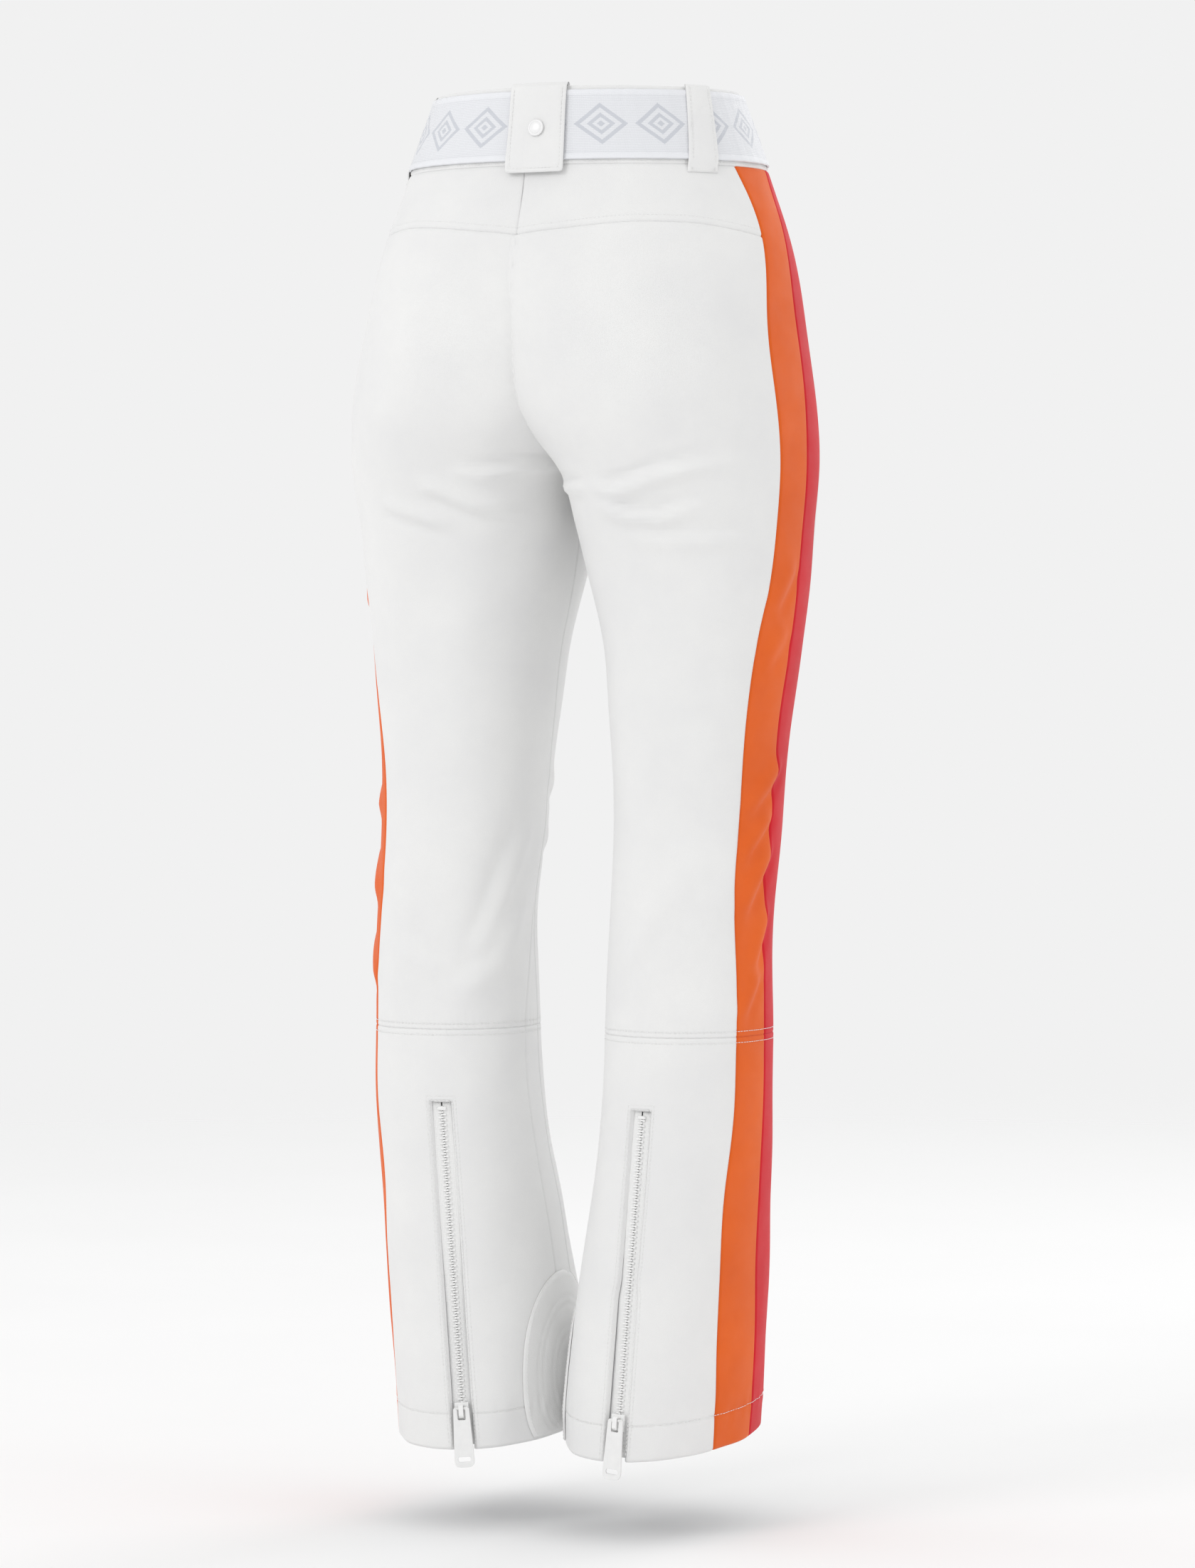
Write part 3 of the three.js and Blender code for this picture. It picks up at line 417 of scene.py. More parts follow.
def softshell(name, colour, shade, sheen=0.25):
    """Matt woven face: faint cloudiness in its colour, slightly polished high spots, and a twill relief."""
    recipe = Recipe(name, colour, 0.72, Sheen_Weight=sheen, Sheen_Roughness=0.5, Specular_IOR_Level=0.32)
    where = recipe.place()
    weave = twill(recipe, 0.0009)
    clouds = recipe.noise(where, 14, 4, 0.6)
    fleck = recipe.noise(where, 1400, 2)
    mottled = recipe.blend(recipe.spread(clouds, 0.3, 0.7), shade, colour)
    recipe.colour(recipe.spread(recipe.sum("ADD", weave, fleck), 0.5, 1.5, 0.0, 0.5), mottled,
                  tuple(0.93 * c for c in shade))
    recipe.roughness(recipe.noise(where, 60, 3), 0.66, 0.8)
    recipe.relief(recipe.sum("MULTIPLY_ADD", fleck, 0.5, weave), 0.00012, 0.55)
    return recipe.material


def lining_cloth(name, colour):
    """Smooth warp-knitted lining with fine upright ribs."""
    recipe = Recipe(name, colour, 0.6, Sheen_Weight=0.3, Sheen_Roughness=0.4)
    across, up = recipe.cloth()
    wales, loops = recipe.rows(across, 0.0011), recipe.rows(up, 0.0008)
    knit = recipe.sum("MULTIPLY_ADD", recipe.sum("MULTIPLY", wales, loops), 0.2,
                      recipe.sum("MULTIPLY_ADD", wales, 0.25, 0.5))
    cloudy = recipe.sum("MULTIPLY_ADD", recipe.noise(recipe.place(), 25, 3), 0.4,
                        recipe.sum("MULTIPLY", knit, 0.4))
    recipe.colour(cloudy, tuple(0.82 * c for c in colour), colour)
    recipe.relief(knit, 0.00015, 0.5)
    return recipe.material


WHITE = softshell("white_softshell", (0.86, 0.86, 0.85), (0.8, 0.8, 0.8))
GREY_BACK = lining_cloth("grey_knitted_back", (0.55, 0.57, 0.6))


def add_mesh(name, points, faces, materials, map_points=None, kinds=None, smooth=True):
    """New object from points, faces, the faces' material numbers and the cloth map."""
    mesh = bpy.data.meshes.new(name)
    mesh.from_pydata(np.asarray(points, float).tolist(), [], [tuple(map(int, f)) for f in faces])
    for material in materials:
        mesh.materials.append(material)
    if kinds is not None:
        mesh.polygons.foreach_set("material_index", np.asarray(kinds, np.int32))
    mesh.polygons.foreach_set("use_smooth", [smooth] * len(faces))
    if map_points is not None:
        corner = np.empty(len(mesh.loops), np.int32)
        mesh.loops.foreach_get("vertex_index", corner)
        layer = mesh.uv_layers.new(name="Cloth")
        layer.uv.foreach_set("vector", np.asarray(map_points, np.float32)[corner].ravel())
    mesh.validate()
    made = bpy.data.objects.new(name, mesh)
    bpy.context.scene.collection.objects.link(made)
    return made


def cloth_sheet(name, outer, inner, cloth_map, keep, materials, flip):
    """Closed sheet between two grids of points; keep says which squares of the grid are cloth."""
    rows, columns = outer.shape[:2]
    number = np.arange(rows * columns).reshape(rows, columns)
    a, b, c, d = (q[keep] for q in (number[:-1, :-1], number[:-1, 1:], number[1:, 1:], number[1:, :-1]))
    front = np.stack([a, b, c, d] if flip else [a, d, c, b], 1)
    back = front[:, ::-1] + rows * columns
    edges = np.concatenate([front[:, [k, (k + 1) % 4]] for k in range(4)])
    key = edges.min(1).astype(np.int64) * 10**7 + edges.max(1)
    _, first, count = np.unique(key, return_index=True, return_counts=True)
    border = edges[first[count == 1]]
    start, end = border[:, 0], border[:, 1]
    rim = np.stack([end, start, start + rows * columns, end + rows * columns], 1)
    faces = np.concatenate([front, back, rim])
    points = np.concatenate([outer.reshape(-1, 3), inner.reshape(-1, 3)])
    used = np.unique(faces)
    renumber = np.zeros(len(points), int)
    renumber[used] = np.arange(len(used))
    both_maps = np.tile(cloth_map.reshape(-1, 2), (2, 1))
    kinds = np.r_[np.zeros(len(front)), np.ones(len(back)), np.zeros(len(rim))]
    return add_mesh(name, points[used], renumber[faces], materials, both_maps[used], kinds)


def stations(length, step):
    """Places from 0 to 1 along a length in mm, closer together at both sewn ends."""
    if length < 14:
        return np.linspace(0, 1, max(4, int(length / 1.6)))
    count = max(2, int(round((length - 2 * EDGE[-1]) / step)) + 1)
    inside = np.linspace(EDGE[-1], length - EDGE[-1], count)[1:-1]
    return np.concatenate([EDGE, inside, length - EDGE[::-1]]) / length


def value_at(rule, turn, z, with_turn):
    """A seam line's place: a number, or a rule of the turn or the height."""
    if callable(rule):
        return rule(turn) if with_turn else rule(z)
    return np.full(np.shape(turn), float(rule))


def sew_panel(name, side, cuts, lines, material, hole=None, step=3.8):
    """A panel between upright seams (cuts) and level seams (lines), each a place and a groove depth in mm."""
    z = np.mean([np.mean(value_at(line, np.array([60.0]), None, True)) for line, _ in lines])
    columns = []
    levels = np.linspace(value_at(lines[0][0], np.array(90.0), None, True),
                         value_at(lines[-1][0], np.array(90.0), None, True), 7)
    for k in range(len(cuts) - 1):
        t0, t1 = (value_at(cuts[k + i][0], levels, levels, False) for i in (0, 1))
        turn = t0 + (t1 - t0) * np.linspace(0, 1, 20)[:, None]
        steps = np.linalg.norm(np.diff(face_point(turn, levels + 0 * turn), axis=0), axis=-1)
        reach = steps.sum(0).max() / MM
        places = stations(reach, step)
        columns += [(k, f) for f in places[:-1]]
    columns.append((len(cuts) - 2, 1.0))
    rows = []
    for k in range(len(lines) - 1):
        reach = np.mean(value_at(lines[k][0], np.array([0.0, 90.0]), None, True)
                        - value_at(lines[k + 1][0], np.array([0.0, 90.0]), None, True))
        rows += [(k, f) for f in stations(reach, step)[:-1]]
    rows.append((len(lines) - 2, 1.0))
    ck, cf = np.array(columns).T
    rk, rf = np.array(rows).T
    ck, rk = ck.astype(int), rk.astype(int)
    z = np.full((len(rows), len(columns)), float(z))
    for _ in range(6):
        places = np.stack([value_at(cut, z, z, False) for cut, _ in cuts])
        turn = np.take_along_axis(places, np.broadcast_to(ck, z.shape)[None], 0)[0]
        turn = turn + (np.take_along_axis(places, np.broadcast_to(ck + 1, z.shape)[None], 0)[0] - turn) * cf
        heights = np.stack([value_at(line, turn, None, True) for line, _ in lines])
        pick = np.broadcast_to(rk[:, None], z.shape)
        z = np.take_along_axis(heights, pick[None], 0)[0]
        z = z + (np.take_along_axis(heights, pick[None] + 1, 0)[0] - z) * rf[:, None]
    p, n = on_cloth(side, turn, z)
    per_degree = np.linalg.norm(face_point(turn + 0.5, z) - face_point(turn - 0.5, z), axis=-1) / MM
    roll = np.zeros(z.shape)
    for k, (_, depth) in enumerate(cuts):
        away = np.abs(turn - places[k]) * per_degree
        deep = depth(turn, z) if callable(depth) else depth
        roll += deep * np.exp(-(away / (0.9 if k in (0, len(cuts) - 1) else 1.1))**2)
    for k, (_, depth) in enumerate(lines):
        deep = depth(turn, z) if callable(depth) else depth
        roll += deep * np.exp(-(np.abs(z - heights[k]) / 1.0)**2)
    outer = p - n * (roll * MM)[..., None]
    inner = p - n * (np.maximum(2.3 + 0.2 * roll, roll + 0.4) * MM)[..., None]
    steps = np.linalg.norm(np.diff(p, axis=1), axis=-1)
    run = np.concatenate([np.zeros((len(rows), 1)), np.cumsum(steps, 1)], 1)
    cloth_map = np.stack([run, z * MM], -1)
    keep = np.ones((len(rows) - 1, len(columns) - 1), bool)
    if hole:
        keep[np.ix_(rk[:-1] >= hole[1], ck[:-1] == hole[0])] = False
        if len(hole) > 2:
            keep[np.ix_(rk[:-1] >= hole[2], ck[:-1] == hole[0])] = True
    panel = cloth_sheet(name, outer, inner, cloth_map, keep, [material, GREY_BACK], SIDES[side] < 0)
    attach(panel, "trousers")
    return panel


# Seams run down the outer side: the orange stripe's back edge and the line between orange and red.
# The left leg's seams sit a little further back than the right leg's.
STRIPE_BACK = ((-60, 15.5), (-80, 13), (-200, 15), (-300, 15.5), (-370, 21), (-430, 27), (-520, 31),
               (-590, 32), (-680, 27), (-760, 27), (-840, 31), (-950, 28), (-1040, 24))
STRIPE_MIDDLE = ((-60, -10.5), (-120, -6.5), (-240, -4), (-420, -2), (-560, 1), (-680, -5), (-830, -1),
                 (-1040, -6))
LEFT_TURN = ((-300, 0), (-420, 9), (-560, 17), (-700, 15), (-860, 18), (-1040, 12))
YOKE_LINE = ((110, -115), (100, -112), (85, -108), (66, -104.5), (45, -104.5), (28, -108), (10, -114))


def leg_turn(side, z):
    return flow1(LEFT_TURN, z) if side == "left" else np.zeros(np.shape(z))


def seams(side):
    """Turns of one side's upright seams as rules of the height."""
    rules = {
        "stripe_back": lambda z: flow1(STRIPE_BACK, z) + leg_turn(side, z),
        "stripe_middle": lambda z: flow1(STRIPE_MIDDLE, z) + leg_turn(side, z),
        "stripe_front": lambda z: 2 * flow1(STRIPE_MIDDLE, z) - flow1(STRIPE_BACK, z) + leg_turn(side, z),
        "centre_back": lambda z: centre_turn(z, True) + np.where(z < CROTCH, leg_turn(side, z), 0),
        "centre_front": lambda z: centre_turn(z, False) + np.where(z < CROTCH, leg_turn(side, z), 0),
        "calf_back": lambda z: 177 - 17 * step_up(-z, 615, 735) + leg_turn(side, z),
        "calf_front": lambda z: -177 + 17 * step_up(-z, 615, 735) + leg_turn(side, z)}
    for half in ("hem_zip", "pocket_zip"):
        t0, z0, t1, z1, *_ = ZIPS[f"{side}_{half}"]
        width = 7.9 if half == "hem_zip" else 7.4
        for edge, sign in (("lower_turn", -1), ("upper_turn", 1)):
            def rule(z, t0=t0, z0=z0, t1=t1, z1=z1, sign=sign, width=width):
                share = (z - z0) / (z1 - z0)
                start, end = face_point(t0, z0), face_point(t1, z1)
                middle = t0 + (t1 - t0) * share
                straight = start + (end - start) * share[..., None]
                for _ in range(3):
                    gap = ((straight - face_point(middle, z)) * (face_point(middle + 0.5, z)
                           - face_point(middle - 0.5, z))).sum(-1)
                    middle = middle + gap / (np.linalg.norm(face_point(middle + 0.5, z)
                                                            - face_point(middle - 0.5, z), axis=-1)**2)
                per = np.linalg.norm(face_point(middle + 0.5, z) - face_point(middle - 0.5, z), axis=-1) / MM
                return middle + sign * width / per
            rules[f"{half}_{edge}"] = rule
    return rules


yoke_height = lambda turn: flow1(YOKE_LINE, np.abs(turn))
for side in SIDES:
    rule = seams(side)
    calf_depth = lambda turn, z: 0.75 * step_up(-z, 618, 640)
    piece = sew_panel(f"{side}_yoke", side, [(rule["stripe_back"], 1.3), (rule["centre_back"], 0.5)],
                      [(-60, 0.6), (yoke_height, 1.1)], WHITE)
    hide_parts(f"{side}_back_yoke")
    piece = sew_panel(f"{side}_seat_and_thigh", side,
                      [(rule["stripe_back"], 1.3), (rule["calf_back"], calf_depth), (rule["centre_back"], 1.1)],
                      [(yoke_height, 1.1), (CROTCH, 0), (-714, 0.25), (-718, 0.5)], WHITE)
    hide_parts(f"{side}_back_panel")
    z0, z1 = ZIPS[f"{side}_pocket_zip"][1], ZIPS[f"{side}_pocket_zip"][3]
    clear_of_stripe = lambda edge, gap, rule=rule: (
        lambda z: np.minimum(rule[edge](z), rule["stripe_front"](z) - gap))
    beside = lambda turn, z: 3.5 * step_up(z, z0 - 1, z0) * (1 - step_up(z, z1, z1 + 1))
    ends = lambda turn, z: 3.5 * (np.abs(turn + 37) < 3.6)
    piece = sew_panel(f"{side}_front", side,
                      [(rule["centre_front"], 1.0), (rule["calf_front"], calf_depth),
                       (clear_of_stripe("pocket_zip_lower_turn", 5), beside),
                       (clear_of_stripe("pocket_zip_upper_turn", 2), beside),
                       (rule["stripe_front"], 1.3)],
                      [(-60, 0.6), (z1, ends), (z0, ends), (CROTCH, 0), (-714, 0.25), (-718, 0.5)], WHITE,
                       hole=(2, 1, 2))
    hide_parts(f"{side}_front_panel")

# ------------------------------------------------------------------ side stripes
# Two stripes of the same softshell, orange behind and red in front, are set in down each outer side.
# They taper in at the hip and knee, and are cut and joined again at the calf seam.
ORANGE = softshell("orange_softshell", (0.85, 0.142, 0.012), (0.74, 0.112, 0.009), 0.1)
RED = softshell("red_softshell", (0.72, 0.012, 0.024), (0.6, 0.008, 0.018), 0.08)
hem_turn_in = lambda turn: hem_height(turn) + 27

for side in SIDES:
    rule = seams(side)
    for colour, material, front, back in (("orange", ORANGE, "stripe_middle", "stripe_back"),
                                          ("red", RED, "stripe_front", "stripe_middle")):
        cuts = [(rule[front], 1.2), (rule[back], 1.3)]
        upper = sew_panel(f"{side}_{colour}_stripe_hip_to_calf", side, cuts,
                          [(-60, 0.6), (CROTCH, 0), (-714, 0.25), (-718, 0.5)], material)
        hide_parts(f"{side}_{colour}_stripe_upper")
        lower = sew_panel(f"{side}_{colour}_stripe_calf_to_hem", side, cuts,
                          [(-718, 0.5), (-722, 0.25), (hem_turn_in, 0.5), (hem_height, 1.5)], material)
        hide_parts(f"{side}_{colour}_stripe_lower")

# ------------------------------------------------------------------ lower legs
# Below the calf seam the leg flares over the boot. The back panel is slit for the hem zip, its cut edges
# turned in, and the hem is folded up 27 mm and stitched once round.
for side in SIDES:
    rule = seams(side)
    _, _, _, zip_top, *_ = ZIPS[f"{side}_hem_zip"]
    slit = lambda turn, z: 3.7 * (1 - step_up(z, zip_top, zip_top + 1.5))
    a, b = rule["hem_zip_lower_turn"], rule["hem_zip_upper_turn"]
    head = lambda turn, z: 3.7 * ((turn > a(z)) & (turn < b(z)))
    piece = sew_panel(f"{side}_calf_back", side,
                      [(rule["stripe_back"], 1.3), (a, slit), (b, slit), (rule["calf_back"], 0.75),
                       (rule["centre_back"], 1.0)],
                      [(-718, 0.5), (-722, 0.25), (zip_top, head), (hem_turn_in, 0.5), (hem_height, 1.5)],
                      WHITE, hole=(1, 2))
    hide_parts(f"{side}_back_lower")
    piece = sew_panel(f"{side}_calf_front", side,
                      [(rule["centre_front"], 1.0), (rule["calf_front"], 0.75), (rule["stripe_front"], 1.2)],
                      [(-718, 0.5), (-722, 0.25), (hem_turn_in, 0.5), (hem_height, 1.5)], WHITE)
    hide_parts(f"{side}_front_lower")

# ------------------------------------------------------------------ topstitching
# White polyester thread, half a millimetre thick, is sewn in lockstitch along the flat seams.
# Each stitch is 2.7 mm long, pulled into the cloth at both ends, so a row reads as a line of beads.
THREAD = Recipe("white_thread", (0.9, 0.9, 0.9), 0.45, Sheen_Weight=0.4, Specular_IOR_Level=0.5)
spun = THREAD.place()
THREAD.colour(THREAD.noise(spun, 900, 2), (0.72, 0.72, 0.72), (0.95, 0.95, 0.94))
THREAD.relief(THREAD.noise(spun, 2600, 2), 0.00006, 0.8)
STITCH_RINGS = ((-1.0, 0.25, -0.22), (-0.72, 0.8, 0.0), (0.0, 1.0, 0.08), (0.72, 0.8, 0.0),
                (1.0, 0.25, -0.22))
thread_rows = {}


def stitch(name, points, normals, pitch=3.1, length=2.5, thick=0.27):
    """Adds a row of stitches along points (metres) to the named set of rows."""
    points, normals = np.asarray(points), np.asarray(normals)
    run = np.concatenate([[0], np.cumsum(np.linalg.norm(np.diff(points, axis=0), axis=1))]) / MM
    middles = np.arange(pitch / 2, run[-1], pitch)
    at = lambda values, place: np.stack([np.interp(place, run, values[:, k]) for k in range(3)], -1)
    along = unit(at(points, middles + 0.5) - at(points, middles - 0.5))
    up = unit(at(normals, middles))
    across = np.cross(up, along)
    centre = at(points, middles)
    verts, faces = thread_rows.setdefault(name, ([], []))
    corner = np.radians(np.arange(5) * 72)
    for c, f, u, w in zip(centre, along, up, across):
        start = len(verts)
        for reach, swell, rise in STITCH_RINGS:
            for angle in corner:
                verts.append(c + MM * (f * reach * length / 2 + u * (rise + thick * swell * math.sin(angle))
                                       + w * thick * swell * math.cos(angle)))
        for ring in range(len(STITCH_RINGS) - 1):
            for k in range(5):
                a, b = start + 5 * ring + k, start + 5 * ring + (k + 1) % 5
                faces.append((a, b, b + 5, a + 5))
        faces.append(tuple(start + k for k in range(4, -1, -1)))
        faces.append(tuple(start + 20 + k for k in range(5)))


def stitch_level(name, side, height, start, stop, lift=0.05):
    """A row round one leg at a height that may depend on the turn."""
    turn = np.linspace(start, stop, max(12, int(abs(stop - start) / 1.5)))
    z = value_at(height, turn, None, True)
    points, normals = on_cloth(side, turn, z, lift)
    stitch(name, points, normals)


TURN_PER_MM = 0.62  # degrees of turn to a millimetre round the flared hem
for side in SIDES:
    rule = seams(side)
    back = float(rule["stripe_back"](np.array(-110.0)))
    stitch_level(f"{side}_yoke_stitches", side, lambda turn: yoke_height(turn) + 4.8, back + 1.5,
                 float(centre_turn(np.array(-112.0), True)) - 0.8)
    for z in (-713.8, -722.2):
        stitch_level(f"{side}_calf_stitches", side, z, -179, 181)
    gap0, gap1 = (float(rule[f"hem_zip_{k}_turn"](np.array(-1012.0))) for k in ("lower", "upper"))
    stitch_level(f"{side}_hem_stitches", side, lambda turn: hem_turn_in(turn) + 0.6,
                 gap1 + 3.4, gap0 + 360 - 3.4)
    _, _, _, zip_z1, *_ = ZIPS[f"{side}_hem_zip"]
    for grow in (1.5, 5.0):
        low = np.linspace(-1034, zip_z1 + grow, 60)
        a = rule["hem_zip_lower_turn"](low) - grow * TURN_PER_MM
        b = rule["hem_zip_upper_turn"](low) + grow * TURN_PER_MM
        over = np.linspace(a[-1], b[-1], 12)
        turn = np.concatenate([a, over[1:-1], b[::-1]])
        z = np.concatenate([low, np.full(10, zip_z1 + grow), low[::-1]])
        points, normals = on_cloth(side, turn, z, 0.05)
        stitch(f"{side}_hem_zip_stitches", points, normals)
    _, zip_z0, _, zip_z1, *_ = ZIPS[f"{side}_pocket_zip"]
    low = np.linspace(zip_z0 - 2.2, zip_z1 + 2.2, 40)
    a, b = rule["pocket_zip_lower_turn"](low) - 1.1, rule["pocket_zip_upper_turn"](low) + 1.1
    turn = np.concatenate([a, np.linspace(a[-1], b[-1], 8)[1:-1], b[::-1], np.linspace(b[0], a[0], 8)[1:]])
    z = np.concatenate([low, np.full(6, low[-1]), low[::-1], np.full(7, low[0])])
    points, normals = on_cloth(side, turn, z, 0.05)
    stitch(f"{side}_pocket_zip_stitches", points, normals)

# The fly's curved double row holds the facing on the wearer's left front.
for inset in (0.0, 3.5):
    reach = 34 - inset
    bend = np.radians(np.linspace(0, 90, 26))
    drop = np.concatenate([np.linspace(-62, -172, 40), -172 - (40 - inset) * np.sin(bend)])
    aside = np.concatenate([np.full(40, reach), reach * np.cos(bend)])
    edge = centre_turn(drop, False)
    per = np.linalg.norm(face_point(edge + 1.5, drop) - face_point(edge + 0.5, drop), axis=-1) / MM
    points, normals = on_cloth("left", edge + 0.6 + aside / per, drop, 0.05)
    stitch("left_fly_stitches", points, normals)


# ------------------------------------------------------------------ zips
# Moulded zips close both hems, the two front pockets and the fly. Woven tape carries acetal teeth 4 mm apart,
# which mesh in a zigzag, with a moulded slider, a soft pull and a stop at each end.
TAPE = Recipe("zip_tape", (0.86, 0.86, 0.855), 0.8, Sheen_Weight=0.2)
tape_across, tape_along = TAPE.cloth()
tape_weave = TAPE.sum("MULTIPLY_ADD", TAPE.rows(tape_along, 0.0009), 0.25,
                      TAPE.sum("MULTIPLY_ADD", TAPE.rows(tape_across, 0.0012), 0.25, 0.5))
TAPE.colour(tape_weave, (0.78, 0.78, 0.775), (0.9, 0.9, 0.895))
TAPE.relief(tape_weave, 0.0002, 0.6)
MOULDED = Recipe("white_acetal", (0.87, 0.87, 0.865), 0.36, Specular_IOR_Level=0.5, Coat_Weight=0.08)
moulded = MOULDED.place()
MOULDED.colour(MOULDED.noise(moulded, 220, 3), (0.82, 0.82, 0.815), (0.9, 0.9, 0.895))
MOULDED.roughness(MOULDED.noise(moulded, 500, 3), 0.3, 0.46)
MOULDED.relief(MOULDED.noise(moulded, 1800, 2), 0.00004, 0.4)
TOOTH = ((-1.0, 0.5), (-0.55, 0.95), (0.5, 0.6), (1.5, 0.72), (3.1, 0.72), (3.1, -0.72), (1.5, -0.72),
         (0.5, -0.6), (-0.55, -0.95), (-1.0, -0.5))


def zip_frame(start, end, outward, depth):
    """Axes of a zip: across, along and out of the chain, and its lower end, all in place (mm)."""
    along = unit(end - start)
    across = unit(np.cross(along, outward))
    out = np.cross(across, along)
    return np.stack([across, along, out], 1), start - out * depth, np.linalg.norm(end - start)


def placed(zip_axes, origin, local, side):
    return (np.asarray(local, float) @ zip_axes.T + origin) * np.array([SIDES[side], 1, 1]) * MM


def zip_half(name, zip_axes, origin, side, hand, low, high, sag, nodes):
    """One tape with its teeth. hand is 1 for the half at +x, -1 for the other."""
    rows = np.linspace(low, high, max(8, int((high - low) / 5)))
    across = np.array([0.5, 1.6, 3.4, 5.4, 8.0, 10.4, 12.6])
    x, y = np.meshgrid(across, rows)
    swell = 0.12 * np.sin(y * 0.33) * step_up(x, 3, 9)
    z = -0.1 - sag * (x / 13)**2 + swell
    layers = [placed(zip_axes, origin, np.stack([hand * x, y, z - drop], -1), side) for drop in (0.0, 0.55)]
    keep = np.ones((len(rows) - 1, len(across) - 1), bool)
    tape = cloth_sheet(name + "_tape", *layers, np.stack([x, y], -1) * MM, keep, [TAPE.material] * 2,
                       (hand * SIDES[side]) < 0)
    verts, faces = [], []
    start = low + 3 + (2.0 if hand > 0 else 0.0)
    for middle in np.arange(start, high - 5, 4.0):
        first = len(verts)
        for level, inset in ((-1.15, 0.82), (-0.8, 1.0), (1.05, 1.0), (1.55, 0.74)):
            for tx, ty in TOOTH:
                cx = 1.2
                verts.append((hand * (cx + (tx - cx) * inset), middle + ty * inset, level))
        for ring in range(3):
            for k in range(10):
                a, b = first + 10 * ring + k, first + 10 * ring + (k + 1) % 10
                faces.append((a, b, b + 10, a + 10))
        faces.append(tuple(first + k for k in range(9, -1, -1)))
        faces.append(tuple(first + 30 + k for k in range(10)))
    if hand * SIDES[side] > 0:
        faces = [f[::-1] for f in faces]
    teeth = add_mesh(name + "_teeth", placed(zip_axes, origin, verts, side), faces, [MOULDED.material],
                     np.asarray(verts)[:, :2] * MM, smooth=False)
    rounding = teeth.modifiers.new("moulded_edges", "BEVEL")
    rounding.width, rounding.segments = 0.00014, 1
    for piece in (tape, teeth):
        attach(piece, "trousers")
    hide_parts(*nodes)
    return tape, teeth


def zip_stop(name, zip_axes, origin, side, y, half_width, half_length):
    """Moulded block at the end of the chain."""
    rings = []
    for level, grow in ((-1.3, 0.75), (-0.8, 1.0), (1.4, 1.0), (1.9, 0.7)):
        for k in range(16):
            a = 2 * math.pi * k / 16
            c, s = math.cos(a), math.sin(a)
            rings.append((half_width * grow * math.copysign(abs(c)**0.5, c),
                          y + half_length * grow * math.copysign(abs(s)**0.5, s), level))
    faces = [(16 * r + k, 16 * r + (k + 1) % 16, 16 * r + 16 + (k + 1) % 16, 16 * r + 16 + k)
             for r in range(3) for k in range(16)]
    faces += [tuple(range(15, -1, -1)), tuple(range(48, 64))]
    if SIDES[side] < 0:
        faces = [f[::-1] for f in faces]
    stop = add_mesh(name, placed(zip_axes, origin, rings, side), faces, [MOULDED.material],
                    np.asarray(rings)[:, :2] * MM)
    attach(stop, "trousers")
    return stop


ZIP_FRAMES = {}
for name, (t0, z0, t1, z1, depth, sag) in ZIPS.items():
    side = name.split("_")[0]
    axes, origin, length = zip_frame(face_point(t0, z0) / MM, face_point(t1, z1) / MM,
                                     face_normal((t0 + t1) / 2, (z0 + z1) / 2), depth)
    ZIP_FRAMES[name] = (axes, origin, length, side)
    if "hem" in name:
        for half, hand in (("outer", -1), ("inner", 1)):
            zip_half(f"{name}_{half}", axes, origin, side, hand, 1, length + 2, sag,
                     [f"{side}_hem_zip_{half}_stringer"])
        zip_stop(name + "_top_stop", axes, origin, side, length - 4.5, 3.6, 1.3)
    else:
        zip_half(name + "_outer", axes, origin, side, -1, -4, length + 4, sag, [f"{side}_pocket_zip_chain"])
        zip_half(name + "_inner", axes, origin, side, 1, -4, length + 4, sag, [])
        zip_stop(name + "_lower_stop", axes, origin, side, 1.8, 3.6, 1.4)
        zip_stop(name + "_upper_stop", axes, origin, side, length - 1.8, 3.6, 1.4)
fly_low = np.array([0, face_point(centre_turn(np.array(-214.0), False), -214)[1] / MM, -214.0])
fly_high = np.array([0, face_point(centre_turn(np.array(-63.0), False), -63)[1] / MM, -63.0])
axes, origin, length = zip_frame(fly_low, fly_high, np.array([0, -1.0, 0]), 4.6)
zip_half("fly_zip_left", axes, origin, "left", -1, 0, length, 0.4, ["fly_zip_chain"])
zip_half("fly_zip_right", axes, origin, "left", 1, 0, length, 0.4, [])
zip_stop("fly_zip_lower_stop", axes, origin, "left", 2.0, 3.6, 1.4)

# ------------------------------------------------------------------ zip sliders and pulls
# The sliders and bridges are moulded in white acetal; the pulls are soft-touch white polymer with a window
# for the bridge and a finger slot. They are the shaped parts themselves, with their edges eased.
SOFT_TOUCH = Recipe("soft_touch_white", (0.84, 0.84, 0.84), 0.5, Specular_IOR_Level=0.4)
soft = SOFT_TOUCH.place()
SOFT_TOUCH.colour(SOFT_TOUCH.noise(soft, 160, 3), (0.78, 0.78, 0.78), (0.87, 0.87, 0.86))
SOFT_TOUCH.roughness(SOFT_TOUCH.noise(soft, 420, 3), 0.42, 0.6)
SOFT_TOUCH.relief(SOFT_TOUCH.noise(soft, 2600, 2), 0.00005, 0.6)


def ease_edges(node, width, recipe, segments=2):
    """Better finish and slightly rounded edges on a carried part."""
    part = frame["nodes"][node]
    for holder in part.material_slots:
        holder.material = recipe.material
    weld = part.modifiers.new("weld", "WELD")
    weld.merge_threshold = 0.00001
    ease = part.modifiers.new("eased_edges", "BEVEL")
    ease.width, ease.segments, ease.limit_method = width, segments, "ANGLE"
    ease.angle_limit = math.radians(35)
    return part


for name in (*ZIPS, "fly_zip"):
    ease_edges(f"{name}_slider", 0.0003, MOULDED)
    ease_edges(f"{name}_pull", 0.00035, SOFT_TOUCH)

